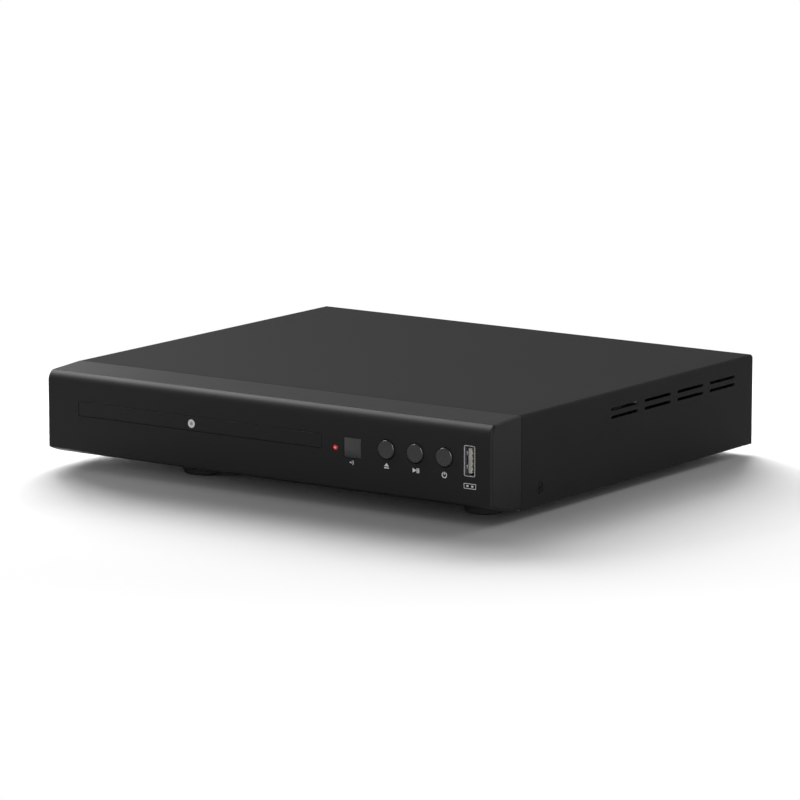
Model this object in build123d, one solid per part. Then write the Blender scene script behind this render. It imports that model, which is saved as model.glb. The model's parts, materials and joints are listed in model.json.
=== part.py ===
from build123d import *
import math
import os

# A compact disc player with a motor-driven tray. All sizes are in millimetres.
# X runs to the right, Y to the back and Z up. The origin is on the floor under the middle.

# Clearances
running_gap = 0.3
shaft_gap = 0.05
panel_gap = 0.1
seam_gap = 0.25
insert_gap = 0.1

# Sheet metal, plastic walls and circuit boards
sheet = 0.8
plastic_wall = 2.2
board_thickness = 1.6
pin_wire = 0.5

# Disc, and the tray that carries it
disc_diameter = 120.0
disc_thickness = 1.2
disc_hole_diameter = 15.0
small_disc_diameter = 80.0
disc_side_play = 0.8
tray_rim = 4.2
tray_front_rim = 5.5
tray_tail = 25.4
tray_height = 5.7
tray_skin = 1.0
tray_wall = 1.4
tray_corner = 3.0
disc_recess_depth = 2.3
small_recess_step = 0.6
tray_slot_width = 38.0
tray_travel = 125.0
door_thickness = 2.5
door_overhang_side = 1.75
door_overhang_edge = 0.25
door_gap = 0.2
door_edge_chamfer = 0.06

# Front panel, from left to right
tray_margin = 17.9
led_offset = 7.4
ir_offset = 4.55
ir_window_size = 9.0
button_offset = 13.55
button_pitch = 15.0
button_names = ["eject", "play", "power"]
usb_offset = 12.95
usb_margin = 11.15

# Heights on the front panel, above the tray's underside
button_level = 2.7
ir_level = 1.45
led_level = 0.7
usb_level = 2.5

# Fascia
fascia_wrap = 22.3
fascia_top_round = 5.4
fascia_crease_round = 1.5
fascia_crease_tilt = 30.0
fascia_top_tilt = 3.5
fascia_side_round = 1.2
fascia_lip_height = 5.0
fascia_lip_knee_depth = 8.7
fascia_lip_knee_height = 2.0
fascia_rear_lift = 0.2
fascia_ledge = 4.0
fascia_ledge_thickness = 1.2
hook_width = 8.0
hook_height = 2.0
hook_catch = 1.5
hook_positions = [0.12, 0.37, 0.62, 0.88]

# Buttons and their switches
button_diameter = 8.3
button_proud = 0.8
button_hole_gap = 0.35
button_rim_round = 0.6
button_flange = 1.1
button_flange_thickness = 1.2
button_stem_diameter = 3.4
button_travel = 0.7
switch_size = 6.0
switch_height = 3.5
switch_bore_gap = 0.1
front_board_depth = 14.0
front_board_height = 27.0
front_board_floor_gap = 9.0
front_board_side_gap = 3.0
boss_diameter = 5.0
boss_inset = 3.0

# Indicator, infrared window and receiver
led_lens_diameter = 2.5
led_diameter = 3.0
led_length = 5.5
lens_flange = 1.0
window_recess = 0.15
lens_proud = 0.15
receiver_size = 5.6
receiver_thickness = 3.2
receiver_dome = 1.9

# USB port, standing on its end
usb_width = 5.7
usb_height = 13.4
usb_shell_wall = 0.35
usb_proud = 0.15
usb_tongue_thickness = 1.85
usb_tongue_height = 11.0
usb_tongue_inset = 0.6
usb_tongue_offset = -0.35
usb_contact_width = 1.0
usb_contact_pitch = 2.3
usb_contact_thickness = 0.3
usb_contact_count = 4

# Cover, chassis and rear panel
cover_bend = 1.5
cover_lip = 8.0
chassis_flange = 10.0
chassis_front_flange = 6.0
standoff_diameter = 6.0
standoff_height = 3.0
board_standoff_height = 5.0
screw_diameter = 2.5
screw_length = 6.0
screw_head_diameter = 5.0
screw_head_height = 1.6
thread_gap = 0.05
side_screw_depth = 36.6
side_screw_level = 7.7
rear_screw_inset = 14.0
vent_length = 21.5
vent_height = 1.4
vent_pitch = 27.0
vent_columns = 4
vent_rows = 2
vent_row_pitch = 3.5
vent_first_depth = 103.2
vent_top_drop = 7.9
floor_vent_length = 34.0
floor_vent_width = 3.0
floor_vent_pitch = 8.0
floor_vent_count = 6

# Feet
foot_diameter = 17.0
foot_height = 4.0
foot_edge_round = 1.0
foot_pin_diameter = 4.0
foot_pin_height = 2.0
front_foot_depth = 29.0
front_foot_left_offset = 65.0
foot_side_inset = 23.4
rear_foot_inset = 29.0

# Gear train under the front of the tray
loading_motor_diameter = 24.0
loading_motor_length = 9.5
motor_floor_gap = 1.2
motor_shaft_diameter = 2.0
deck_thickness = 2.0
washer_gap = 0.5
pulley_height = 3.0
pulley_groove = 0.6
big_pulley_diameter = 26.0
motor_pulley_diameter = 7.0
motor_slider_gap = 1.2
belt_thickness = 1.2
belt_gap = 0.05
wheel_height = 2.3
tray_gear_rise = 1.6
tray_gear_reach = 1.4
gear_post_diameter = 3.0
gear_backlash = 0.2
rack_module = 1.0
rack_gear_teeth = 26
rack_inset = 3.6
wheel_module = 0.8
wheel_teeth = 38
pinion_teeth = 12

# Cam slider that lifts the traverse
slider_travel = 16.0
slider_thickness = 3.0
slider_length = 58.0
guide_length = 12.0
slider_margin = 1.5
slider_foot = 1.0
cam_pin_diameter = 2.4
cam_pin_rise = 0.8
tilt_degrees = 4.0

# Loader frame
loader_front = 6.0
loader_wall = 2.4
loader_side_gap = 0.6
rail_width = 2.4
rail_thickness = 1.2
tab_length = 14.0
tab_reach = 3.0
tab_thickness = 1.5
gear_bay_depth = 37.0
gear_centre_depth = 19.0
loader_back_gap = 1.0
ear_size = 8.0
ear_thickness = 2.5
ear_front_depth = 24.0
ear_rear_inset = 16.0

# Clamp
clamp_gap = 0.5
clamper_height = 5.0
clamper_diameter = 25.0
clamper_flange_diameter = 32.0
clamper_flange_thickness = 1.2
clamper_recess_depth = 1.6
bridge_thickness = 1.5
bridge_width = 30.0
bridge_ring_width = 7.0
bridge_overhang = 4.0

# Traverse, spindle and pickup
spindle_setback = 17.8
traverse_width = 62.0
traverse_thickness = 2.0
turntable_diameter = 30.0
turntable_height = 3.6
turntable_cone_height = 1.7
spindle_hub_height = 1.0
spindle_hub_diameter = 10.0
spindle_shaft_diameter = 2.0
spindle_motor_diameter = 22.0
spindle_motor_height = 5.6
spindle_plate_thickness = 0.5
rod_diameter = 2.5
rod_spacing = 48.0
rod_boss = 4.8
rod_lift = 0.4
rod_block_length = 4.0
rod_end_gap = 3.5
sled_width = 38.0
sled_length = 30.0
sled_depth_below = 2.5
sled_motor_gap = 1.7
lens_inner_radius = 24.0
lens_travel = 34.0
lens_diameter = 4.4
turret_width = 18.0
turret_height = 4.0
lens_height = 0.6
sled_rack_module = 0.6
sled_gear_teeth = 14
sled_rack_length = 38.0
sled_wheel_module = 0.5
sled_wheel_teeth = 36
sled_pinion_teeth = 10
sled_wheel_height = 2.3
sled_wheel_gap = 0.5
sled_motor_diameter = 15.0
sled_motor_length = 5.3
hinge_pin_diameter = 3.0
bush_diameter = 6.0
hinge_pin_reach = 4.0
hinge_lug_width = 4.0
hinge_rod_gap = 9.0
frame_tail = 8.0

# Rear connectors and the bay behind the loader
rear_bay_depth = 44.0
jack_reach = 8.0
barrel_diameter = 8.3
barrel_wall = 0.9
collar_diameter = 11.6
collar_proud = 1.0
jack_pitch = 14.0
jack_count = 3
jack_side_inset = 22.0
jack_block_depth = 12.0
jack_rise = 8.5
insulator_hole_diameter = 3.2
insulator_length = 5.0
hdmi_width = 15.0
hdmi_height = 5.6
hdmi_depth = 11.0
hdmi_wall = 0.5
hdmi_proud = 0.15
hdmi_tongue_thickness = 1.4
hdmi_offset = 20.0
inlet_width = 20.0
inlet_height = 13.0
inlet_depth = 19.0
inlet_flange = 2.0
inlet_recess_width = 16.6
inlet_recess_height = 9.0
inlet_recess_depth = 13.0
inlet_pin_diameter = 2.4
inlet_pin_spacing = 8.6
inlet_pin_length = 9.5
inlet_side_inset = 18.0

# Boards and what stands on them
board_edge_gap = 3.0
board_rear_gap = 1.0
board_screw_inset = 4.0
power_board_length = 100.0
main_screw_rear_inset = 30.0
main_board_front_depth = 40.0
transformer_length = 22.0
transformer_width = 20.0
transformer_height = 18.0
transformer_core_width = 8.0
core_rim = 3.6
transformer_offset = 56.0
mains_capacitor_diameter = 16.0
mains_capacitor_height = 22.0
mains_capacitor_offset = 38.0
small_capacitor_diameter = 8.0
small_capacitor_height = 12.0
small_capacitor_pitch = 12.0
fuse_diameter = 5.2
fuse_length = 20.0
fuse_offset = 28.0
heatsink_length = 20.0
heatsink_height = 20.0
heatsink_thickness = 1.5
heatsink_inset = 30.0
chip_thickness = 1.6
decoder_size = 20.0
memory_length = 22.0
memory_width = 10.2
driver_length = 14.0
chip_spacing = 24.0
cable_thickness = 0.4
cable_lift = 0.6
flat_cable_width = 14.0
power_cable_width = 7.0
power_cable_thickness = 1.4
plug_length = 3.0

# Headroom under the cover
headroom = 7.8

# Bores and holes
screw_hole = screw_diameter + 2 * thread_gap
spindle_bore = spindle_shaft_diameter + 2 * shaft_gap
gear_bore_diameter = gear_post_diameter + 2 * shaft_gap

# Places across the width, from left to right
recess_radius = disc_diameter / 2 + disc_side_play
tray_width = 2 * (recess_radius + tray_rim)
door_width = tray_width + 2 * door_overhang_side
button_span = (len(button_names) - 1) * button_pitch
window_span = led_offset + ir_offset + ir_window_size
control_width = window_span + button_offset + button_span + usb_offset + usb_margin
cabinet_width = tray_margin + door_width + control_width
cabinet_right = cabinet_width / 2
cabinet_left = -cabinet_right
door_left = cabinet_left + tray_margin
door_right = door_left + door_width
tray_x = (door_left + door_right) / 2
tray_left = tray_x - tray_width / 2
tray_right = tray_x + tray_width / 2
led_x = door_right + led_offset
ir_x = led_x + ir_offset + ir_window_size / 2
button_x = [ir_x + ir_window_size / 2 + button_offset + i * button_pitch for i in range(len(button_names))]
usb_x = button_x[-1] + usb_offset
pan_right = cabinet_right - sheet - panel_gap
loader_inner_left = tray_left - loader_side_gap
loader_inner_right = tray_right + loader_side_gap
loader_left = loader_inner_left - loader_wall
loader_right = loader_inner_right + loader_wall
right_bay_left = loader_right + ear_size + board_edge_gap
right_bay_right = pan_right - sheet - board_edge_gap

# Gear sizes
rack_gear_radius = rack_module * rack_gear_teeth / 2
wheel_radius = wheel_module * wheel_teeth / 2
pinion_radius = wheel_module * pinion_teeth / 2
sled_gear_radius = sled_rack_module * sled_gear_teeth / 2
sled_wheel_radius = sled_wheel_module * sled_wheel_teeth / 2
sled_pinion_radius = sled_wheel_module * sled_pinion_teeth / 2

# Depths behind the front face
slider_bay_depth = slider_margin + slider_thickness + running_gap + 2 * slider_margin
mechanism_spindle_depth = loader_front + gear_bay_depth + slider_bay_depth + spindle_setback
tray_spindle_depth = door_thickness + tray_front_rim + recess_radius
spindle_depth = max(mechanism_spindle_depth, tray_spindle_depth)
sled_front_depth = spindle_depth + spindle_motor_diameter / 2 + sled_motor_gap
rod_front_depth = sled_front_depth - rod_end_gap
rod_back_depth = sled_front_depth + sled_length + lens_travel + rod_end_gap
hinge_depth = rod_back_depth + hinge_rod_gap
tray_back_depth = spindle_depth + recess_radius + tray_tail
loader_back_depth = max(hinge_depth + frame_tail, tray_back_depth + frame_tail)
cabinet_depth = loader_back_depth + rear_bay_depth
front_y = -(cabinet_depth + jack_reach - button_proud) / 2


def back(depth):
    """The Y of a place that lies this deep behind the front face."""
    return front_y + depth


spindle_y = back(spindle_depth)
tray_front = back(door_thickness)
tray_back = back(tray_back_depth)
gear_y = back(loader_front + gear_centre_depth)
chassis_front = back(fascia_wrap) + seam_gap
chassis_front_edge = chassis_front + sheet
deck_back = back(loader_front + gear_bay_depth)
slider_front = deck_back + slider_margin
slider_back = slider_front + slider_thickness
motor_y = chassis_front_edge + motor_slider_gap + loading_motor_diameter / 2
traverse_front = spindle_y - spindle_setback
sled_front = back(sled_front_depth)
lens_y = spindle_y + lens_inner_radius
rod_front = back(rod_front_depth)
rod_back = back(rod_back_depth)
hinge_y = back(hinge_depth)
loader_back = back(loader_back_depth)
cabinet_back = back(cabinet_depth)
rear_panel_back = cabinet_back - sheet
rear_panel_front = rear_panel_back - sheet
front_board_y = back(front_board_depth)
hook_back = chassis_front_edge + panel_gap + hook_catch

# Heights above the floor
base = foot_height
floor_top = base + sheet
loader_base = floor_top + standoff_height
gear_stack = washer_gap + pulley_height + running_gap + wheel_height + tray_gear_rise
hook_z = base + chassis_front_flange + running_gap
nose_z = hook_z + hook_height + running_gap
deck_top = floor_top + motor_floor_gap + loading_motor_length + deck_thickness
tray_bottom = deck_top + gear_stack
tray_top = tray_bottom + tray_height
disc_floor = tray_top - disc_recess_depth
small_disc_floor = disc_floor - small_recess_step
clamper_bottom = tray_top + clamp_gap
clamper_top = clamper_bottom + clamper_height
bridge_top = clamper_top - clamper_flange_thickness - running_gap
bridge_bottom = bridge_top - bridge_thickness
cabinet_top = clamper_top + headroom + sheet
seat_z = clamper_bottom - disc_thickness
spindle_hub_bottom = seat_z - turntable_height - spindle_hub_height
spindle_motor_top = spindle_hub_bottom - running_gap
spindle_plate_bottom = spindle_motor_top - spindle_motor_height - spindle_plate_thickness
traverse_top = spindle_plate_bottom
traverse_bottom = traverse_top - traverse_thickness
hinge_z = traverse_bottom + traverse_thickness / 2
rod_z = traverse_top + rod_lift + rod_boss / 2
sled_top = rod_z + rod_boss / 2
sled_bottom = traverse_bottom - sled_depth_below
sled_gear_top = traverse_bottom - running_gap
sled_wheel_top = sled_bottom - sled_wheel_gap
sled_wheel_bottom = sled_wheel_top - sled_wheel_height
cam_pin_z = traverse_top + cam_pin_rise
cam_drop = (hinge_y - (slider_front + slider_back) / 2) * math.sin(math.radians(tilt_degrees))
slot_half = cam_pin_diameter / 2 + running_gap
slider_top = cam_pin_z + slot_half + slider_margin
slider_bottom = cam_pin_z - cam_drop - slot_half - slider_foot
board_bottom = floor_top + board_standoff_height
board_top = board_bottom + board_thickness
button_z = tray_bottom + button_level
ir_z = tray_bottom + ir_level
led_z = tray_bottom + led_level
usb_z = tray_bottom + usb_level
pulley_bottom = deck_top + washer_gap
pulley_top = pulley_bottom + pulley_height
wheel_bottom = pulley_top + running_gap
wheel_top = wheel_bottom + wheel_height
front_board_bottom = base + front_board_floor_gap
front_board_top = front_board_bottom + front_board_height


# Basic shapes
def block(x, y, z):
    """A box between three pairs of planes."""
    size = [high - low for low, high in (x, y, z)]
    middle = [(low + high) / 2 for low, high in (x, y, z)]
    return Pos(*middle) * Box(*size)


def slab(x, y, z, corner):
    """A box with its four upright edges rounded."""
    outline = RectangleRounded(x[1] - x[0], y[1] - y[0], corner)
    return extrude(Pos((x[0] + x[1]) / 2, (y[0] + y[1]) / 2, z[0]) * outline, z[1] - z[0])


def pillar(x, y, z, diameter):
    """An upright cylinder."""
    return Pos(x, y, (z[0] + z[1]) / 2) * Cylinder(diameter / 2, z[1] - z[0])


def bar_x(x, y, z, diameter):
    """A cylinder that lies along X."""
    return Pos((x[0] + x[1]) / 2, y, z) * Rot(0, 90, 0) * Cylinder(diameter / 2, x[1] - x[0])


def bar_y(x, y, z, diameter):
    """A cylinder that lies along Y."""
    return Pos(x, (y[0] + y[1]) / 2, z) * Rot(90, 0, 0) * Cylinder(diameter / 2, y[1] - y[0])


def around(middle, width):
    """The two ends of a width about its middle."""
    return (middle - width / 2, middle + width / 2)


def spur(module, teeth, centre, z, turn):
    """A straight-toothed wheel, with one tooth pointing at the angle turn, in radians."""
    radius = module * teeth / 2
    root = radius - 1.25 * module
    tip = radius + 0.9 * module
    slope = math.tan(math.radians(20)) / radius
    half = math.pi / (2 * teeth) - gear_backlash / (2 * radius)
    half_root = half + (radius - root) * slope
    half_tip = half - (tip - radius) * slope
    corners = []
    for i in range(teeth):
        middle = turn + 2 * math.pi * i / teeth
        for reach, angle in ((root, -half_root), (tip, -half_tip), (tip, half_tip), (root, half_root)):
            corners.append((reach * math.cos(middle + angle), reach * math.sin(middle + angle)))
    outline = make_face(Polyline(*corners, close=True))
    return extrude(Pos(centre[0], centre[1], z[0]) * outline, z[1] - z[0])


def rack(module, pitch_x, side, y, z, tooth_y):
    """A toothed bar along Y. Its teeth point to side, and one stands at tooth_y."""
    pitch = math.pi * module
    tip = 0.9 * module
    root = 1.25 * module
    half = pitch / 4 - gear_backlash / 2
    slope = math.tan(math.radians(20))
    first = math.ceil((y[0] + pitch / 2 - tooth_y) / pitch)
    last = math.floor((y[1] - pitch / 2 - tooth_y) / pitch)
    corners = [(pitch_x - side * 2 * root, y[0]), (pitch_x - side * root, y[0])]
    for i in range(first, last + 1):
        middle = tooth_y + i * pitch
        for reach, across in ((-root, -half - root * slope), (tip, -half + tip * slope)):
            corners.append((pitch_x + side * reach, middle + across))
        for reach, across in ((tip, half - tip * slope), (-root, half + root * slope)):
            corners.append((pitch_x + side * reach, middle + across))
    corners += [(pitch_x - side * root, y[1]), (pitch_x - side * 2 * root, y[1])]
    outline = make_face(Polyline(*corners, close=True))
    return extrude(Pos(0, 0, z[0]) * outline, z[1] - z[0])


def slot_x(x, y, z, length, height):
    """A round-ended slot through X, long in Y."""
    outline = Plane(origin=(x[0], y, z), x_dir=(0, 1, 0), z_dir=(1, 0, 0)) * SlotOverall(length, height)
    return extrude(outline, x[1] - x[0])


def screw_down(x, y, seat):
    """A pan-head screw that points down, with the underside of its head at seat."""
    head = pillar(x, y, (seat, seat + screw_head_height), screw_head_diameter)
    return head + pillar(x, y, (seat - screw_length, seat), screw_diameter)


# Places that several pieces share
ear_places = [
    (x, y)
    for x in (loader_left - ear_size / 2, loader_right + ear_size / 2)
    for y in (back(loader_front + ear_front_depth), loader_back - ear_rear_inset)
]
foot_places = [
    (cabinet_left + front_foot_left_offset, back(front_foot_depth)),
    (cabinet_right - foot_side_inset, back(front_foot_depth)),
    (cabinet_left + foot_side_inset, cabinet_back - rear_foot_inset),
    (cabinet_right - foot_side_inset, cabinet_back - rear_foot_inset),
]
main_board_x = (right_bay_left, right_bay_right)
main_board_y = (back(main_board_front_depth), rear_panel_front - board_rear_gap)
power_board_left = -pan_right + sheet + board_edge_gap
power_board_x = (power_board_left, power_board_left + power_board_length)
power_board_y = (loader_back + board_edge_gap, rear_panel_front - board_rear_gap)
board_screw_places = [
    (x, y)
    for bx, by, rear_inset in (
        (main_board_x, main_board_y, main_screw_rear_inset),
        (power_board_x, power_board_y, board_screw_inset),
    )
    for x in (bx[0] + board_screw_inset, bx[1] - board_screw_inset)
    for y in (by[0] + board_screw_inset, by[1] - rear_inset)
]
bridge_y = (spindle_y - bridge_width / 2, spindle_y + bridge_width / 2)
bridge_screw_places = [
    (x, y)
    for x in (loader_left - loader_wall / 2, loader_right + loader_wall / 2)
    for y in (bridge_y[0] + screw_head_diameter, bridge_y[1] - screw_head_diameter)
]
front_boss_places = [
    (led_x + boss_diameter, front_board_bottom + boss_inset),
    (ir_x + ir_window_size / 2 + button_offset / 2, front_board_top - boss_inset),
    (button_x[1] + button_pitch / 2, front_board_bottom + boss_inset),
    (usb_x - usb_offset / 2, front_board_top - boss_inset),
]
side_screw_y = back(side_screw_depth)
side_screw_z = base + side_screw_level
rear_screw_z = cabinet_top - cover_lip / 2
rear_screw_x = [cabinet_left + rear_screw_inset, 0, cabinet_right - rear_screw_inset]
jack_z = board_top + jack_rise
jack_x = [right_bay_right - jack_side_inset / 2 - i * jack_pitch for i in range(jack_count)]
hdmi_x = jack_x[-1] - hdmi_offset
hdmi_z = board_top + hdmi_height / 2
inlet_x = power_board_x[0] + inlet_side_inset
inlet_z = board_top + inlet_height / 2
slider_left = tray_x - slider_travel - cam_pin_diameter / 2 - running_gap - 3 * slider_margin
motor_pulley_x = slider_left - motor_slider_gap - loading_motor_diameter / 2
drive_gear_x = tray_right - rack_inset - rack_gear_radius
pulley_gear_x = drive_gear_x - wheel_radius - pinion_radius
rack_pitch_x = tray_right - rack_inset
rack_tooth_y = gear_y + math.pi * rack_module / 2
sled_side = tray_x + sled_width / 2
sled_rack_pitch_x = sled_side + 2 * 1.25 * sled_rack_module
sled_gear_x = sled_rack_pitch_x + sled_gear_radius
sled_gear_y = sled_front + lens_travel + 1.5
sled_motor_x = sled_gear_x + sled_wheel_radius + sled_pinion_radius


# Casing
def bottom_chassis():
    """Steel pan with side and front flanges, standoffs and floor vents."""
    z_flange = (base, base + chassis_flange)
    pan = block((-pan_right, pan_right), (chassis_front, rear_panel_front), (base, floor_top))
    for x in ((-pan_right, -pan_right + sheet), (pan_right - sheet, pan_right)):
        pan += block(x, (chassis_front, rear_panel_front), z_flange)
    front_z = (base, base + chassis_front_flange)
    pan += block((-pan_right, pan_right), (chassis_front, chassis_front_edge), front_z)
    for x, y in ear_places:
        pan += pillar(x, y, (floor_top, loader_base), standoff_diameter)
    for x, y in board_screw_places:
        pan += pillar(x, y, (floor_top, board_bottom), standoff_diameter)
    for x, y in ear_places + board_screw_places:
        pan -= pillar(x, y, (base, board_top), screw_hole)
    for x, y in foot_places:
        pan -= pillar(x, y, (base, floor_top), foot_pin_diameter + 2 * insert_gap)
    for i in range(floor_vent_count):
        y = (main_board_y[0] + main_board_y[1]) / 2 + (i - (floor_vent_count - 1) / 2) * floor_vent_pitch
        x = (main_board_x[0] + main_board_x[1]) / 2
        slot = Pos(x, y, base) * SlotOverall(floor_vent_length, floor_vent_width)
        pan -= extrude(slot, sheet)
    for x in (-pan_right, pan_right):
        hole = (x - sheet, x + sheet)
        pan -= bar_x(hole, side_screw_y, side_screw_z, screw_hole)
    return pan


def rear_panel():
    """Steel plate with the cut-outs for the sockets."""
    y = (rear_panel_front, rear_panel_back)
    cut = (rear_panel_front - sheet, rear_panel_back + sheet)
    plate = block((-pan_right, pan_right), y, (base, cabinet_top - sheet - panel_gap))
    plate = fillet(plate.edges().filter_by(Axis.Y).group_by(Axis.Z)[-1], cover_bend)
    for x in jack_x:
        plate -= bar_y(x, cut, jack_z, collar_diameter + 2 * insert_gap)
    hdmi_x_span = around(hdmi_x, hdmi_width + 2 * insert_gap)
    plate -= block(hdmi_x_span, cut, around(hdmi_z, hdmi_height + 2 * insert_gap))
    inlet_x_span = around(inlet_x, inlet_width + 2 * insert_gap)
    plate -= block(inlet_x_span, cut, around(inlet_z, inlet_height + 2 * insert_gap))
    for x in rear_screw_x:
        plate -= bar_y(x, cut, rear_screw_z, screw_hole)
    return plate


def top_cover():
    """Bent steel cover: the top, both sides and a lip over the rear panel."""
    y = (chassis_front, cabinet_back)
    shell = block((cabinet_left, cabinet_right), y, (base, cabinet_top))
    shell = fillet(shell.edges().filter_by(Axis.Y).group_by(Axis.Z)[-1], cover_bend)
    hollow = block(
        (cabinet_left + sheet, cabinet_right - sheet),
        (chassis_front - sheet, cabinet_back + sheet),
        (base - sheet, cabinet_top - sheet),
    )
    hollow = fillet(hollow.edges().filter_by(Axis.Y).group_by(Axis.Z)[-1], max(cover_bend - sheet, sheet / 4))
    cover = shell - hollow
    lip_z = (cabinet_top - cover_lip, cabinet_top)
    lip = block((cabinet_left, cabinet_right), (rear_panel_back, cabinet_back), lip_z)
    cover += lip & shell
    for x in rear_screw_x:
        hole = (rear_panel_back - sheet, cabinet_back + sheet)
        cover -= bar_y(x, hole, rear_screw_z, screw_hole)
    for x in (cabinet_left, cabinet_right):
        hole = (x - 1.5 * sheet, x + 1.5 * sheet)
        cover -= bar_x(hole, side_screw_y, side_screw_z, screw_head_diameter + 2 * insert_gap)
        for column in range(vent_columns):
            for row in range(vent_rows):
                slot_y = back(vent_first_depth + column * vent_pitch)
                slot_z = cabinet_top - vent_top_drop - row * vent_row_pitch
                cover -= slot_x(hole, slot_y, slot_z, vent_length, vent_height)
    return cover


def fascia_top_z(y, depth):
    """Height of the fascia's top, which falls a little to the front, or of a plane at a depth under it."""
    slope = math.radians(fascia_top_tilt)
    return cabinet_top - depth / math.cos(slope) - (back(fascia_wrap) - y) * math.tan(slope)


def fascia_profile(inset, wrap):
    """The fascia's outline seen from the side, drawn in by inset."""
    front = back(inset)
    lip = base + fascia_lip_height + inset / 2
    rear_bottom = (0, back(wrap), base + fascia_rear_lift + inset)
    knee = (0, back(fascia_lip_knee_depth + inset / 2), base + fascia_lip_knee_height + inset)
    front_bottom = (0, front, lip)
    rear_top = (0, back(wrap), fascia_top_z(back(wrap), inset))

    # the front turns in one large arc up to a soft crease, where a small arc meets the top
    slope = math.radians(fascia_top_tilt)
    crease_round = max(fascia_crease_round - inset, inset / 4)
    arc_radius = fascia_top_round - inset
    arc_y = back(fascia_top_round)
    reach = (fascia_top_round - fascia_crease_round) / math.cos(slope)
    rise = math.cos(math.radians(fascia_crease_tilt) - slope)
    arc_z = fascia_top_z(arc_y, fascia_crease_round) - reach * rise
    span = arc_radius - crease_round
    clear = fascia_top_z(arc_y, inset + crease_round) - arc_z
    tilt = slope + math.acos(clear * math.cos(slope) / span)
    crease_y = arc_y - span * math.sin(tilt)
    crease_z = arc_z + span * math.cos(tilt)

    def on_arc(angle):
        return (0, arc_y - arc_radius * math.sin(angle), arc_z + arc_radius * math.cos(angle))

    def on_crease(angle):
        return (0, crease_y - crease_round * math.sin(angle), crease_z + crease_round * math.cos(angle))

    edges = [
        ThreePointArc(rear_bottom, knee, front_bottom),
        Line(front_bottom, on_arc(math.pi / 2)),
        ThreePointArc(on_arc(math.pi / 2), on_arc((tilt + math.pi / 2) / 2), on_arc(tilt)),
        ThreePointArc(on_arc(tilt), on_crease((tilt + slope) / 2), on_crease(slope)),
        Line(on_crease(slope), rear_top),
        Line(rear_top, rear_bottom),
    ]
    return make_face(Wire(edges))


def across_x(face, x):
    """A face of the YZ plane, drawn out between two places along X."""
    return extrude(Pos(x[0], 0, 0) * face, x[1] - x[0], dir=(1, 0, 0))


def front_fascia():
    """Moulded front that wraps over the top, the sides and the underside."""
    shell = across_x(fascia_profile(0, fascia_wrap), (cabinet_left, cabinet_right))
    ends = [e for e in shell.edges() if abs(abs(e.center().X) - cabinet_right) < panel_gap]
    ends = [e for e in ends if abs(e.center().Y - back(fascia_wrap)) > panel_gap]
    shell = fillet(ends, fascia_side_round)
    inside = (cabinet_left + plastic_wall, cabinet_right - plastic_wall)
    shell -= across_x(fascia_profile(plastic_wall, fascia_wrap + plastic_wall), inside)
    ledge_top = cabinet_top - sheet - panel_gap
    ledge_y = (back(fascia_wrap) - plastic_wall, back(fascia_wrap) + fascia_ledge)
    ledge = block(inside, ledge_y, (ledge_top - fascia_ledge_thickness, ledge_top))
    shell += ledge
    for share in hook_positions:
        x = around(cabinet_left + share * cabinet_width, hook_width)
        shell += block(x, (back(plastic_wall / 2), hook_back), (hook_z, hook_z + hook_height))
        shell += block(x, (hook_back - hook_catch, hook_back), (hook_z - hook_height, hook_z))
    through = (back(-plastic_wall), back(2 * plastic_wall))
    door_z = (tray_bottom - door_overhang_edge - door_gap, tray_top + door_overhang_edge + door_gap)
    shell -= block((door_left - door_gap, door_right + door_gap), through, door_z)
    for x in button_x:
        shell -= bar_y(x, through, button_z, button_diameter + 2 * button_hole_gap)
    shell -= bar_y(led_x, through, led_z, led_lens_diameter + 2 * insert_gap)
    shell -= block(around(ir_x, ir_window_size), through, around(ir_z, ir_window_size))
    usb_x_span = around(usb_x, usb_width + 2 * insert_gap)
    shell -= block(usb_x_span, through, around(usb_z, usb_height + 2 * insert_gap))
    for x, z in front_boss_places:
        boss = bar_y(x, (back(plastic_wall / 2), front_board_y), z, boss_diameter)
        pilot = bar_y(x, (front_board_y - screw_length, front_board_y), z, screw_hole)
        shell += boss - pilot
    return shell


def feet():
    """Four round feet, each with a pin that presses into the pan."""
    group = []
    for x, y in foot_places:
        pad = pillar(x, y, (0, foot_height), foot_diameter)
        pad = fillet(pad.edges().group_by(Axis.Z)[0], foot_edge_round)
        group.append(pad + pillar(x, y, (foot_height, foot_height + foot_pin_height), foot_pin_diameter))
    return group


def cover_screws():
    """Screws that hold the cover: one in each side and three in the rear lip."""
    group = []
    for sign in (-1, 1):
        face = sign * (cabinet_right - panel_gap)
        seat = sign * (pan_right + panel_gap / 2)
        tail = sign * (pan_right - screw_length)
        head = bar_x(sorted((seat, face)), side_screw_y, side_screw_z, screw_head_diameter)
        shank = bar_x(sorted((tail, seat)), side_screw_y, side_screw_z, screw_diameter)
        group.append(head + shank)
    for x in rear_screw_x:
        head = bar_y(x, (cabinet_back, cabinet_back + screw_head_height), rear_screw_z, screw_head_diameter)
        shank = bar_y(x, (cabinet_back - screw_length, cabinet_back), rear_screw_z, screw_diameter)
        group.append(head + shank)
    return group


# Front controls
def button(x):
    """A round cap with a flange behind the fascia and a stem into its switch."""
    cap = bar_y(x, (back(-button_proud), back(plastic_wall) + running_gap), button_z, button_diameter)
    cap = fillet(cap.edges().group_by(Axis.Y)[0], button_rim_round)
    flange_y = (back(plastic_wall) + running_gap, back(plastic_wall) + running_gap + button_flange_thickness)
    flange = bar_y(x, flange_y, button_z, button_diameter + 2 * button_flange)
    stem_end = front_board_y - switch_height / 2
    return cap + flange + bar_y(x, (flange_y[1], stem_end), button_z, button_stem_diameter)


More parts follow.
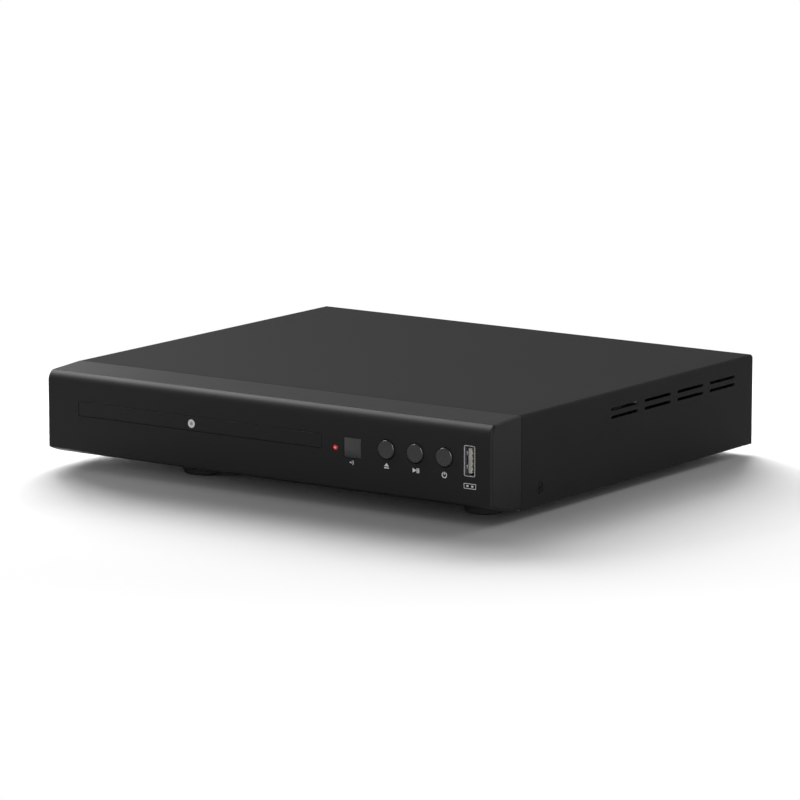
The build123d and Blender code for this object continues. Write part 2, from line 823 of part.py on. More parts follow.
def tact_switches():
    """A switch body on the front board for each button."""
    group = []
    for x in button_x:
        y = (front_board_y - switch_height, front_board_y)
        body = block(around(x, switch_size), y, around(button_z, switch_size))
        bore_y = (front_board_y - switch_height, front_board_y - switch_height / 8)
        group.append(body - bar_y(x, bore_y, button_z, button_stem_diameter + 2 * switch_bore_gap))
    return group


def ir_window():
    """A smoked square window with a flange behind the wall."""
    y = (back(window_recess), back(plastic_wall))
    size = ir_window_size - 2 * insert_gap
    pane = block(around(ir_x, size), y, around(ir_z, size))
    flange_y = (back(plastic_wall), back(plastic_wall) + lens_flange)
    return pane + block(around(ir_x, size + 2 * lens_flange), flange_y, around(ir_z, size + 2 * lens_flange))


def led_lens():
    """A small round lens with a flange behind the wall."""
    pin = bar_y(led_x, (back(-lens_proud), back(plastic_wall)), led_z, led_lens_diameter)
    pin = fillet(pin.edges().group_by(Axis.Y)[0], led_lens_diameter / 5)
    flange_y = (back(plastic_wall), back(plastic_wall) + lens_flange)
    return pin + bar_y(led_x, flange_y, led_z, led_lens_diameter + 1.6 * lens_flange)


def indicator_led():
    """The lamp behind the lens, on two legs from the front board."""
    front = back(plastic_wall) + lens_flange + running_gap
    lamp = bar_y(led_x, (front, front + led_length), led_z, led_diameter)
    lamp = fillet(lamp.edges().group_by(Axis.Y)[0], led_diameter / 2.5)
    for side in (-1, 1):
        x = around(led_x + side * led_diameter / 4, pin_wire)
        lamp += block(x, (front + led_length, front_board_y), around(led_z, pin_wire))
    return lamp


def ir_receiver():
    """The receiver behind the window, on three legs from the front board."""
    front = back(plastic_wall) + lens_flange + running_gap
    y = (front + receiver_dome, front + receiver_dome + receiver_thickness)
    body = block(around(ir_x, receiver_size), y, around(ir_z, receiver_size))
    body += Pos(ir_x, y[0], ir_z) * Sphere(receiver_dome)
    for side in (-1, 0, 1):
        x = around(ir_x + side * receiver_size / 3, pin_wire)
        body += block(x, (y[1], front_board_y), around(ir_z, pin_wire))
    return body


def usb_shell():
    """A folded steel tube that stands on end."""
    y = (back(-usb_proud), front_board_y)
    tube = block(around(usb_x, usb_width), y, around(usb_z, usb_height))
    hollow_y = (back(-2 * usb_proud), front_board_y - usb_shell_wall)
    hollow_x = around(usb_x, usb_width - 2 * usb_shell_wall)
    return tube - block(hollow_x, hollow_y, around(usb_z, usb_height - 2 * usb_shell_wall))


usb_tongue_y = (back(usb_tongue_inset), front_board_y - usb_shell_wall)
usb_tongue_x = around(usb_x + usb_tongue_offset, usb_tongue_thickness)


def usb_tongue():
    """The plastic tongue inside the port, with its root block."""
    tongue = block(usb_tongue_x, usb_tongue_y, around(usb_z, usb_tongue_height))
    root_y = (usb_tongue_y[1] - 3 * usb_shell_wall, usb_tongue_y[1])
    root_x = around(usb_x, usb_width - 2 * usb_shell_wall)
    return tongue + block(root_x, root_y, around(usb_z, usb_height - 2 * usb_shell_wall))


def usb_contacts():
    """Four gilt strips on the tongue."""
    group = []
    for i in range(usb_contact_count):
        z = usb_z + (i - (usb_contact_count - 1) / 2) * usb_contact_pitch
        x = (usb_tongue_x[1], usb_tongue_x[1] + usb_contact_thickness)
        y = (usb_tongue_y[0] + usb_tongue_inset, usb_tongue_y[1] - 3 * usb_shell_wall)
        group.append(block(x, y, around(z, usb_contact_width)))
    return group


def front_board():
    """The upright board behind the fascia."""
    x = (led_x - front_board_side_gap, cabinet_right - plastic_wall - front_board_side_gap / 2)
    y = (front_board_y, front_board_y + board_thickness)
    board = block(x, y, (front_board_bottom, front_board_top))
    for place_x, place_z in front_boss_places:
        board -= bar_y(place_x, y, place_z, screw_hole)
    return board


# Disc tray and its drive
def disc_tray():
    """Tray with a recess for each disc size, a slot for the pickup and a rack underneath."""
    x = (tray_left, tray_right)
    body = slab(x, (tray_front, tray_back), (tray_bottom, tray_top), tray_corner)
    body = chamfer(body.edges().group_by(Axis.Z)[-1], tray_wall / 4)
    body -= pillar(tray_x, spindle_y, (disc_floor, tray_top + tray_skin), 2 * recess_radius)
    small_recess = small_disc_diameter + 2 * disc_side_play
    body -= pillar(tray_x, spindle_y, (small_disc_floor, tray_top + tray_skin), small_recess)
    under_x = (tray_left + tray_wall, tray_right - tray_wall)
    under_y = (tray_front + 2 * tray_wall, tray_back - tray_wall)
    under_top = small_disc_floor - tray_skin
    body -= slab(under_x, under_y, (tray_bottom - tray_skin, under_top), tray_corner)
    ring = pillar(tray_x, spindle_y, (under_top, disc_floor - tray_skin), 2 * recess_radius)
    ring -= pillar(tray_x, spindle_y, (under_top, disc_floor - tray_skin), small_recess + 2 * tray_skin)
    body -= ring & slab(under_x, under_y, (under_top, tray_top), tray_corner)
    corners = slab(under_x, under_y, (under_top, tray_top - tray_skin), tray_corner)
    corners -= pillar(tray_x, spindle_y, (under_top, tray_top), 2 * (recess_radius + tray_skin))
    body -= corners
    rack_y = (gear_y - 2 * rack_module, min(gear_y + tray_travel + 4 * math.pi * rack_module, under_y[1]))
    rack_z = (tray_bottom, under_top + tray_skin / 2)
    body += rack(rack_module, rack_pitch_x, -1, rack_y, rack_z, rack_tooth_y)
    slot_y = (spindle_y, tray_back + tray_skin)
    slot_z = (tray_bottom - tray_skin, tray_top + tray_skin)
    body -= block(around(tray_x, tray_slot_width), slot_y, slot_z)
    body -= pillar(tray_x, spindle_y, slot_z, tray_slot_width)
    notch_x = (drive_gear_x - rack_gear_radius - rack_module - running_gap, rack_pitch_x + 1.25 * rack_module)
    notch_y = (tray_back - 2 * tray_wall, tray_back + tray_skin)
    notch_z = (tray_bottom - tray_skin, tray_bottom + tray_gear_reach + running_gap)
    return body - block(notch_x, notch_y, notch_z)


def tray_door():
    """Trim plate on the front of the tray."""
    z = (tray_bottom - door_overhang_edge, tray_top + door_overhang_edge)
    plate = block((door_left, door_right), (back(0), back(door_thickness)), z)
    return chamfer(plate.edges().group_by(Axis.Y)[0], door_edge_chamfer)


def gear_bore(centre, z):
    """The hole by which a wheel runs on its post."""
    return pillar(centre[0], centre[1], z, gear_bore_diameter)


def drive_gear():
    """Double wheel: the upper one moves the tray's rack, the lower one is driven."""
    centre = (drive_gear_x, gear_y)
    upper_z = (wheel_top, tray_bottom + tray_gear_reach)
    lower = spur(wheel_module, wheel_teeth, centre, (wheel_bottom, wheel_top), 0)
    upper = spur(rack_module, rack_gear_teeth, centre, upper_z, 0)
    return lower + upper - gear_bore(centre, (wheel_bottom, upper_z[1]))


def pulley_gear():
    """Large pulley with a small gear that drives the double wheel."""
    centre = (pulley_gear_x, gear_y)
    disc = pulley(centre, big_pulley_diameter)
    shift = (math.pi * wheel_teeth) % (2 * math.pi) / wheel_teeth
    turn = math.pi / pinion_teeth - shift * wheel_teeth / pinion_teeth
    small_z = (pulley_top, wheel_top + running_gap)
    gear = spur(wheel_module, pinion_teeth, centre, small_z, turn)
    return disc + gear - gear_bore(centre, (pulley_bottom, small_z[1]))


def pulley(centre, diameter):
    """A wheel with a groove for the belt."""
    x, y = centre
    side = (pulley_height - belt_thickness) / 2 - belt_gap
    wheel = pillar(x, y, (pulley_bottom, pulley_top), diameter - 2 * pulley_groove)
    wheel += pillar(x, y, (pulley_bottom, pulley_bottom + side), diameter)
    return wheel + pillar(x, y, (pulley_top - side, pulley_top), diameter)


def motor_pulley():
    """Small pulley fixed on the loading motor's shaft."""
    centre = (motor_pulley_x, motor_y)
    shaft_z = (deck_top - deck_thickness - loading_motor_length / 2, pulley_top)
    return pulley(centre, motor_pulley_diameter) + pillar(*centre, shaft_z, motor_shaft_diameter)


def belt_outline(growth):
    """The belt's path round both pulleys, at growth outside their grooves."""
    big = big_pulley_diameter / 2 - pulley_groove + growth
    small = motor_pulley_diameter / 2 - pulley_groove + growth
    distance = math.hypot(motor_pulley_x - pulley_gear_x, motor_y - gear_y)
    lean = math.asin((big - small) / distance)
    rise, run = math.cos(lean), math.sin(lean)
    small_start = (distance + small * run, small * rise)
    small_end = (distance + small * run, -small * rise)
    edges = [
        ThreePointArc((big * run, -big * rise), (-big, 0), (big * run, big * rise)),
        Line((big * run, big * rise), small_start),
        ThreePointArc(small_start, (distance + small, 0), small_end),
        Line(small_end, (big * run, -big * rise)),
    ]
    turn = math.degrees(math.atan2(motor_y - gear_y, motor_pulley_x - pulley_gear_x))
    return Pos(pulley_gear_x, gear_y) * Rot(0, 0, turn) * make_face(Wire(edges))


def drive_belt():
    """Square rubber belt round both pulleys."""
    middle = (pulley_bottom + pulley_top) / 2
    ring = belt_outline(belt_gap + belt_thickness) - belt_outline(belt_gap)
    return extrude(Pos(0, 0, middle - belt_thickness / 2) * ring, belt_thickness)


def loading_motor():
    """Flat motor that hangs under the loader's deck."""
    top = deck_top - deck_thickness
    can = pillar(motor_pulley_x, motor_y, (top - loading_motor_length, top), loading_motor_diameter)
    can = fillet(can.edges().group_by(Axis.Z)[0], deck_thickness / 2)
    collar_z = (top, deck_top)
    can += pillar(motor_pulley_x, motor_y, collar_z, 3 * motor_shaft_diameter)
    bore = (top - loading_motor_length / 2 - running_gap, deck_top)
    return can - pillar(motor_pulley_x, motor_y, bore, motor_shaft_diameter + 2 * shaft_gap)


# Loader
def loader_frame():
    """Open frame with the tray's rails, the gear deck and the guides of the cam slider."""
    front, top = back(loader_front), bridge_bottom
    deck_z = (deck_top - deck_thickness, deck_top)
    inner = (loader_inner_left, loader_inner_right)
    frame = block((loader_left, loader_inner_left), (front, loader_back), (loader_base, top))
    frame += block((loader_inner_right, loader_right), (front, loader_back), (loader_base, top))
    frame += block(inner, (front, deck_back), deck_z)
    frame += block(inner, (front, front + loader_wall), (loader_base, deck_top))
    back_wall = (loader_back - loader_wall, loader_back)
    frame += block(inner, back_wall, (loader_base, tray_bottom - loader_back_gap))
    rail_z = (tray_bottom - running_gap - rail_thickness, tray_bottom - running_gap)
    left_rail = (loader_inner_left, loader_inner_left + loader_side_gap + rail_width / 2)
    right_rail = (loader_inner_right - loader_side_gap - rail_width / 2, loader_inner_right)
    frame += block(left_rail, (front, loader_back), rail_z)
    frame += block(right_rail, (deck_back, loader_back), rail_z)
    tab_z = (tray_top + running_gap, tray_top + running_gap + tab_thickness)
    for y in (front, spindle_y - bridge_width - tab_length, spindle_y + bridge_width, tray_back - tab_length):
        frame += block((loader_inner_left, loader_inner_left + tab_reach), (y, y + tab_length), tab_z)
        frame += block((loader_inner_right - tab_reach, loader_inner_right), (y, y + tab_length), tab_z)
    strip_top = slider_bottom - running_gap
    strip_x = (slider_left, loader_inner_right)
    strip_y = (slider_front - running_gap - loader_wall, slider_back + running_gap + slider_margin)
    frame += block(strip_x, strip_y, (strip_top - rail_thickness, strip_top))
    front_guide = (strip_y[0], slider_front - running_gap)
    frame += block(strip_x, front_guide, (strip_top - rail_thickness, deck_top))
    rear_guide = (slider_back + running_gap, strip_y[1])
    for start in (slider_left, slider_left + slider_length - guide_length):
        guide_z = (strip_top - rail_thickness, slider_bottom + 2 * slider_thickness)
        frame += block((start, start + guide_length), rear_guide, guide_z)
    for x, y in ear_places:
        side = 1 if x > tray_x else -1
        edge = loader_right if side > 0 else loader_left
        ear_x = sorted((edge - side * loader_wall / 2, edge + side * ear_size))
        ear = block(ear_x, around(y, ear_size), (loader_base, loader_base + ear_thickness))
        frame += ear - pillar(x, y, (loader_base, loader_base + ear_thickness), screw_hole)
    for x, y in bridge_screw_places:
        frame += pillar(x, y, (bridge_bottom - 2 * screw_length, bridge_bottom), 2 * screw_diameter)
        frame -= pillar(x, y, (bridge_bottom - screw_length, bridge_bottom), screw_hole)
    tray_x_span = (tray_left - running_gap, tray_right + running_gap)
    frame -= block(tray_x_span, bridge_y, (tray_bottom - running_gap, tray_top + running_gap))
    post_tops = {drive_gear_x: tray_bottom + tray_gear_reach, pulley_gear_x: wheel_top + running_gap}
    for x, height in post_tops.items():
        frame += pillar(x, gear_y, (deck_top, height - running_gap), gear_post_diameter)
        frame += pillar(x, gear_y, (deck_top, deck_top + washer_gap - insert_gap), 2 * gear_post_diameter)
    frame += pillar(drive_gear_x, gear_y, (deck_top, wheel_bottom - insert_gap), 2 * gear_post_diameter)
    frame -= pillar(motor_pulley_x, motor_y, deck_z, 3 * motor_shaft_diameter + 2 * insert_gap)
    frame -= block((loader_left, loader_right), (front, hook_back + running_gap), (loader_base, nose_z))
    lug_outer = traverse_width / 2 + hinge_pin_reach + running_gap
    for side in (-1, 1):
        near = tray_x + side * (traverse_width / 2 + running_gap)
        far = tray_x + side * lug_outer
        lug_x = sorted((near, far))
        lug_z = (loader_base, hinge_z + bush_diameter)
        frame += block(lug_x, (hinge_y - bush_diameter, loader_back - loader_wall / 2), lug_z)
        frame -= bar_x(lug_x, hinge_y, hinge_z, bush_diameter)
    return frame


def clamp_bridge():
    """Bridge across the loader that carries the clamper in its ring."""
    ring_outer = clamper_flange_diameter + 2 * bridge_ring_width
    x = (loader_left - bridge_overhang, loader_right + bridge_overhang)
    plate = block(x, bridge_y, (bridge_bottom, bridge_top))
    plate += pillar(tray_x, spindle_y, (bridge_bottom, bridge_top), ring_outer)
    plate -= pillar(tray_x, spindle_y, (bridge_bottom, bridge_top), clamper_diameter + 4 * running_gap)
    for place_x, place_y in bridge_screw_places:
        plate -= pillar(place_x, place_y, (bridge_bottom, bridge_top), screw_hole)
    return plate


def clamper():
    """Puck that presses the disc on the turntable and hangs in the bridge by its flange."""
    puck = pillar(tray_x, spindle_y, (clamper_bottom, clamper_top), clamper_diameter)
    flange_z = (clamper_top - clamper_flange_thickness, clamper_top)
    puck += pillar(tray_x, spindle_y, flange_z, clamper_flange_diameter)
    recess_z = (clamper_bottom, clamper_bottom + clamper_recess_depth)
    return puck - pillar(tray_x, spindle_y, recess_z, disc_hole_diameter + 4 * running_gap)


def cam_slot():
    """The slanted slot in which the traverse's pin rises and falls."""
    low = (tray_x - slider_travel, cam_pin_z - cam_drop)
    length = math.hypot(slider_travel, cam_drop)
    slant = math.degrees(math.atan2(cam_drop, slider_travel))
    middle = ((low[0] + tray_x) / 2, (low[1] + cam_pin_z) / 2)
    outline = SlotOverall(length + 2 * slot_half, 2 * slot_half)
    origin = (middle[0], slider_back + slider_margin, middle[1])
    plane = Plane(origin=origin, x_dir=(1, 0, 0), z_dir=(0, -1, 0))
    return extrude(plane * Rot(0, 0, slant) * outline, slider_thickness + 2 * slider_margin)


def cam_slider():
    """Plate that slides to the right to lower the traverse."""
    x = (slider_left, slider_left + slider_length)
    plate = block(x, (slider_front, slider_back), (slider_bottom, slider_top))
    return plate - cam_slot()


# Traverse
def traverse_frame():
    """Plate on two hinge pins that carries the spindle motor, the rods and the pickup."""
    half = traverse_width / 2
    z = (traverse_bottom, traverse_top)
    back_edge = hinge_y + hinge_pin_diameter
    plate = slab((tray_x - half, tray_x + half), (traverse_front, back_edge), z, tray_corner)
    ear_x = (tray_x + half / 2, sled_motor_x + sled_motor_diameter / 2 + traverse_thickness)
    ear_y = around(sled_gear_y, sled_motor_diameter + 3 * traverse_thickness)
    plate += slab(ear_x, ear_y, z, tray_corner)
    window_y = (sled_front - running_gap * 3, sled_front + sled_length + lens_travel + running_gap * 4)
    plate -= block(around(tray_x, sled_width + 6 * running_gap), window_y, z)
    block_z = (traverse_top, sled_top)
    for side in (-1, 1):
        block_x = around(tray_x + side * rod_spacing / 2, 2 * rod_block_length)
        for y in (rod_front, rod_back):
            plate += block(block_x, around(y, rod_block_length), block_z)
    for side in (-1, 1):
        rod_x = tray_x + side * rod_spacing / 2
        reach = (rod_front - rod_block_length, rod_back + rod_block_length)
        plate -= bar_y(rod_x, reach, rod_z, rod_diameter + 2 * shaft_gap)
        pin_x = sorted((tray_x + side * (half - hinge_lug_width), tray_x + side * (half + hinge_pin_reach)))
        lug_x = sorted((tray_x + side * (half - hinge_lug_width), tray_x + side * half))
        plate += bar_x(lug_x, hinge_y, hinge_z, 2 * hinge_pin_diameter)
        plate += bar_x(pin_x, hinge_y, hinge_z, hinge_pin_diameter)
    arm_z = (traverse_bottom, cam_pin_z + cam_pin_diameter)
    arm_y = (traverse_front, traverse_front + rod_block_length)
    plate += block(around(tray_x, 4 * cam_pin_diameter), arm_y, arm_z)
    pin_y = (slider_front - running_gap / 2, traverse_front + traverse_thickness)
    plate += bar_y(tray_x, pin_y, cam_pin_z, cam_pin_diameter)
    plate -= pillar(tray_x, spindle_y, z, spindle_hub_diameter)
    plate -= pillar(sled_motor_x, sled_gear_y, z, 3 * spindle_shaft_diameter)
    post_z = (sled_wheel_bottom - running_gap, traverse_bottom)
    return plate + pillar(sled_gear_x, sled_gear_y, post_z, spindle_shaft_diameter)


def traverse_bushes():
    """Rubber bushes in which the traverse's hinge pins turn."""
    group = []
    for side in (-1, 1):
        near = tray_x + side * (traverse_width / 2 + running_gap)
        far = tray_x + side * (traverse_width / 2 + hinge_pin_reach + running_gap)
        x = sorted((near, far))
        ring = bar_x(x, hinge_y, hinge_z, bush_diameter)
        group.append(ring - bar_x(x, hinge_y, hinge_z, hinge_pin_diameter + 2 * shaft_gap))
    return group


def guide_rods():
    """Two steel rods along which the pickup slides."""
    y = (rod_front - rod_block_length / 2, rod_back + rod_block_length / 2)
    return [bar_y(tray_x + side * rod_spacing / 2, y, rod_z, rod_diameter) for side in (-1, 1)]


def spindle_motor():
    """Flat motor on the traverse with a bore for the turntable's shaft."""
    plate_z = (spindle_plate_bottom, spindle_plate_bottom + spindle_plate_thickness)
    can = pillar(tray_x, spindle_y, (plate_z[1], spindle_motor_top), spindle_motor_diameter)
    can = fillet(can.edges().group_by(Axis.Z)[-1], spindle_plate_thickness)
    can += slab(
        around(tray_x, spindle_motor_diameter + 4 * rod_block_length),
        around(spindle_y, spindle_motor_diameter - rod_block_length),
        plate_z,
        tray_corner,
    )
    return can - pillar(tray_x, spindle_y, (plate_z[0], spindle_motor_top), spindle_bore)


def turntable():
    """Seat for the disc, with a centring cone, a hub and its shaft."""
    seat = pillar(tray_x, spindle_y, (seat_z - turntable_height, seat_z), turntable_diameter)
    cone_top = disc_hole_diameter / 2 - turntable_cone_height
    cone = Pos(tray_x, spindle_y, seat_z + turntable_cone_height / 2) * Cone(
        disc_hole_diameter / 2 - running_gap, cone_top, turntable_cone_height
    )
    hub = pillar(tray_x, spindle_y, (spindle_hub_bottom, seat_z - turntable_height), spindle_hub_diameter)
    shaft_z = (spindle_plate_bottom + spindle_plate_thickness, spindle_hub_bottom)
    return seat + cone + hub + pillar(tray_x, spindle_y, shaft_z, spindle_shaft_diameter)


def optical_pickup():
    """Sled that runs on the two rods, with a turret for the lens and a rack at its side."""
    y = (sled_front, sled_front + sled_length)
    body = block(around(tray_x, sled_width), y, (sled_bottom, sled_top))
    arm_x = around(tray_x, rod_spacing + rod_boss)
    body += block(arm_x, y, (rod_z - rod_boss / 2, sled_top))
    turret_z = (sled_top, sled_top + turret_height)
    body += slab(around(tray_x, turret_width), around(lens_y, turret_width), turret_z, traverse_thickness)
    rack_y = (sled_front, sled_front + sled_rack_length)
    tooth_y = sled_gear_y + math.pi * sled_rack_module / 2
    rack_z = (sled_bottom, sled_gear_top)
    body += rack(sled_rack_module, sled_rack_pitch_x, 1, rack_y, rack_z, tooth_y)
    for side in (-1, 1):
        body -= bar_y(tray_x + side * rod_spacing / 2, y, rod_z, rod_diameter + 2 * shaft_gap)
    return body


def pickup_lens():
    """The lens on its turret."""
    top = sled_top + turret_height
    lens = pillar(tray_x, lens_y, (top, top + lens_height), lens_diameter)
    return fillet(lens.edges().group_by(Axis.Z)[-1], lens_height / 2)


def sled_gear():
    """Double wheel under the traverse that moves the pickup's rack."""
    centre = (sled_gear_x, sled_gear_y)
    small = spur(sled_rack_module, sled_gear_teeth, centre, (sled_wheel_top, sled_gear_top), math.pi)
    wheel = spur(sled_wheel_module, sled_wheel_teeth, centre, (sled_wheel_bottom, sled_wheel_top), 0)
    z = (sled_wheel_bottom, sled_gear_top)
    return small + wheel - pillar(*centre, z, spindle_bore)


def sled_pinion():
    """Pinion on the sled motor's shaft."""
    centre = (sled_motor_x, sled_gear_y)
    turn = math.pi + math.pi / sled_pinion_teeth
    gear = spur(sled_wheel_module, sled_pinion_teeth, centre, (sled_wheel_bottom, sled_wheel_top), turn)
    shaft_z = (sled_wheel_top, traverse_top + sled_motor_length / 2)
    return gear + pillar(*centre, shaft_z, spindle_shaft_diameter)


def sled_motor():
    """Small motor on the traverse's ear."""
    can_z = (traverse_top, traverse_top + sled_motor_length)
    can = pillar(sled_motor_x, sled_gear_y, can_z, sled_motor_diameter)
    can = fillet(can.edges().group_by(Axis.Z)[-1], spindle_plate_thickness)
    bore = (traverse_top, traverse_top + sled_motor_length / 2 + running_gap)
    return can - pillar(sled_motor_x, sled_gear_y, bore, spindle_bore)


# Boards
def board(x, y):
    """A flat circuit board with a hole at each of its standoffs."""
    plate = block(x, y, (board_bottom, board_top))
    for place_x, place_y in board_screw_places:
        if x[0] < place_x < x[1] and y[0] < place_y < y[1]:
            plate -= pillar(place_x, place_y, (board_bottom, board_top), screw_hole)
    return plate


def main_board_chips():
    """Decoder, two memories, a motor driver and the cable sockets."""
    x = (main_board_x[0] + main_board_x[1]) / 2
    y = main_board_y[0] + chip_spacing
    z = (board_top, board_top + chip_thickness)
    group = [block(around(x, decoder_size), around(y + chip_spacing, decoder_size), z)]
    for side in (-1, 1):
        chip_x = around(x + side * chip_spacing / 2, memory_width)
        group.append(block(chip_x, around(y + 2 * chip_spacing, memory_length), z))
    group.append(block(around(x, driver_length), around(y, memory_width), z))
    return group


power_mid_y = (power_board_y[0] + power_board_y[1]) / 2


def capacitors():
    """Small upright capacitors on the power board and the main board."""
    group = []
    z = (board_top, board_top + small_capacitor_height)
    for i in range(2):
        y = power_mid_y + (i - 0.5) * small_capacitor_pitch
        x = power_board_x[1] - 2 * small_capacitor_diameter
        group.append(pillar(x, y, z, small_capacitor_diameter))
    for i in range(3):
        x = main_board_x[0] + small_capacitor_diameter
        y = main_board_y[0] + (i + 1) * small_capacitor_pitch
        group.append(pillar(x, y, z, small_capacitor_diameter))
    return group


def mains_capacitor():
    """The large capacitor of the power board."""
    x = power_board_x[0] + mains_capacitor_offset + mains_capacitor_diameter / 2
    can = pillar(x, power_mid_y, (board_top, board_top + mains_capacitor_height), mains_capacitor_diameter)
    return fillet(can.edges().group_by(Axis.Z)[-1], sheet)


transformer_x = power_board_x[0] + transformer_offset + transformer_length / 2
transformer_z = (board_top, board_top + transformer_height)


def transformer_core():
    """Ferrite core: a ring of square section around the winding."""
    x = around(transformer_x, transformer_core_width)
    outer = block(x, around(power_mid_y, transformer_width), transformer_z)
    window_z = (transformer_z[0] + core_rim, transformer_z[1] - core_rim)
    return outer - block(x, around(power_mid_y, transformer_width - 2 * core_rim), window_z)


def transformer_winding():
    """The wound bobbin through the core."""
    rim = core_rim + running_gap
    z = (transformer_z[0] + rim, transformer_z[1] - rim)
    coil_y = around(power_mid_y, transformer_width - 2 * rim)
    coil = slab(around(transformer_x, transformer_length), coil_y, z, sheet)
    for side in (-1, 1):
        foot_x = around(transformer_x + side * (transformer_length / 2 - sheet), 2 * sheet)
        coil += block(foot_x, around(power_mid_y, transformer_width / 2), (board_top, z[0] + sheet))
    return coil


def fuse():
    """Glass fuse that lies across the power board in its two clips."""
    x = power_board_x[0] + fuse_offset + fuse_diameter
    z = board_top + fuse_diameter
    y = around(power_mid_y - board_edge_gap, fuse_length)
    tube = bar_y(x, y, z, fuse_diameter)
    for end in y:
        inner = 1 if end == y[0] else -1
        clip_y = sorted((end, end + inner * fuse_diameter))
        tube += block(around(x, fuse_diameter + 2 * sheet), clip_y, (board_top, z))
    return tube


def heatsink():
    """Upright aluminium plate with a foot along the power board's front edge."""
    start = power_board_x[1] - heatsink_inset
    x = (start, start + heatsink_length)
    y = (power_board_y[0] + sheet, power_board_y[0] + sheet + heatsink_thickness)
    plate = block(x, y, (board_top, board_top + heatsink_height))
    foot_y = (y[0], y[0] + 2.5 * heatsink_thickness)
    return plate + block(x, foot_y, (board_top, board_top + heatsink_thickness))


def flat_cables():
    """Two flat cables: from the front board and from the loader to the main board."""
    start = front_board_y + board_thickness
    middle_x = main_board_x[0] + 2 * flat_cable_width
    level = board_top + 2 * cable_lift
    end = main_board_y[0] + flat_cable_width
    front_run = block(around(middle_x, flat_cable_width), (start, end), (level, level + cable_thickness))
    plug = (end - plug_length, end)
    front_run += block(around(middle_x, flat_cable_width), plug, (board_top, level + cable_thickness))
    y = around(lens_y, flat_cable_width)
    x = (loader_right, main_board_x[0] + 2 * board_edge_gap)
    rise = sled_bottom
    side_run = block(x, y, (rise, rise + cable_thickness))
    drop_x = (x[1] - cable_thickness, x[1])
    return [front_run, side_run + block(drop_x, y, (board_top, rise + cable_thickness))]


def power_cable():
    """Strip of wires from the power board to the main board, with a plug at each end."""
    y = around(power_mid_y, power_cable_width)
    level = board_top + small_capacitor_height / 3
    x = (power_board_x[1] - board_edge_gap, main_board_x[0] + board_edge_gap)
    strip = block(x, y, (level, level + power_cable_thickness))
    for end in x:
        strip += block(around(end, plug_length), y, (board_top, level + power_cable_thickness))
    return strip


def internal_screws():
    """Screws of the loader, the bridge and the three boards."""
    group = [screw_down(x, y, loader_base + ear_thickness) for x, y in ear_places]
    group += [screw_down(x, y, board_top) for x, y in board_screw_places]
    group += [screw_down(x, y, bridge_top) for x, y in bridge_screw_places]
    for x, z in front_boss_places:
        seat = front_board_y + board_thickness
        head = bar_y(x, (seat, seat + screw_head_height), z, screw_head_diameter)
        group.append(head + bar_y(x, (seat - screw_length, seat), z, screw_diameter))
    return group


# Rear connectors
def av_jack_block():
    """Plastic block on the main board with an insulator for each barrel."""
    block_y = (rear_panel_front - jack_block_depth, rear_panel_front - insert_gap)
    x = (jack_x[-1] - jack_pitch / 2, jack_x[0] + jack_pitch / 2)
    body = block(x, block_y, (board_top, jack_z + jack_pitch / 2))
    for jack in jack_x:
        stub_y = (block_y[1], rear_panel_back + insulator_length)
        bore = barrel_diameter - 2 * barrel_wall - 2 * insert_gap
        stub = bar_y(jack, stub_y, jack_z, bore)
        body += stub
        body -= bar_y(jack, (block_y[0] + jack_block_depth / 3, stub_y[1]), jack_z, insulator_hole_diameter)
    return body


def phono_barrels():
    """The metal barrels of the phono jacks."""
    group = []
    for x in jack_x:
        y = (rear_panel_front - insert_gap, cabinet_back + jack_reach)
        tube = bar_y(x, y, jack_z, barrel_diameter)
        tube -= bar_y(x, y, jack_z, barrel_diameter - 2 * barrel_wall)
        group.append(tube)
    return group


def jack_collars():
    """The coloured collars round the barrels, where they pass the rear panel."""
    group = []
    for x in jack_x:
        y = (rear_panel_front - insert_gap, rear_panel_back + collar_proud)
        ring = bar_y(x, y, jack_z, collar_diameter)
        group.append(ring - bar_y(x, y, jack_z, barrel_diameter + 2 * insert_gap))
    return group


def hdmi_shell():
    """Steel shell of the HDMI socket."""
    y = (rear_panel_back - hdmi_depth, rear_panel_back + hdmi_proud)
    tube = block(around(hdmi_x, hdmi_width), y, around(hdmi_z, hdmi_height))
    corner = hdmi_height / 3
    tube = chamfer(tube.edges().filter_by(Axis.Y).group_by(Axis.Z)[0], corner)
    hollow_y = (y[0] + hdmi_wall, y[1] + hdmi_wall)
    hollow_z = around(hdmi_z, hdmi_height - 2 * hdmi_wall)
    hollow = block(around(hdmi_x, hdmi_width - 2 * hdmi_wall), hollow_y, hollow_z)
    hollow = chamfer(hollow.edges().filter_by(Axis.Y).group_by(Axis.Z)[0], corner - hdmi_wall / 2)
    return tube - hollow


def hdmi_tongue():
    """The tongue inside the HDMI socket."""
    y = (rear_panel_back - hdmi_depth + hdmi_wall, rear_panel_back - hdmi_depth / 8)
    z = around(hdmi_z + hdmi_wall, hdmi_tongue_thickness)
    return block(around(hdmi_x, hdmi_width - 8 * hdmi_wall), y, z)


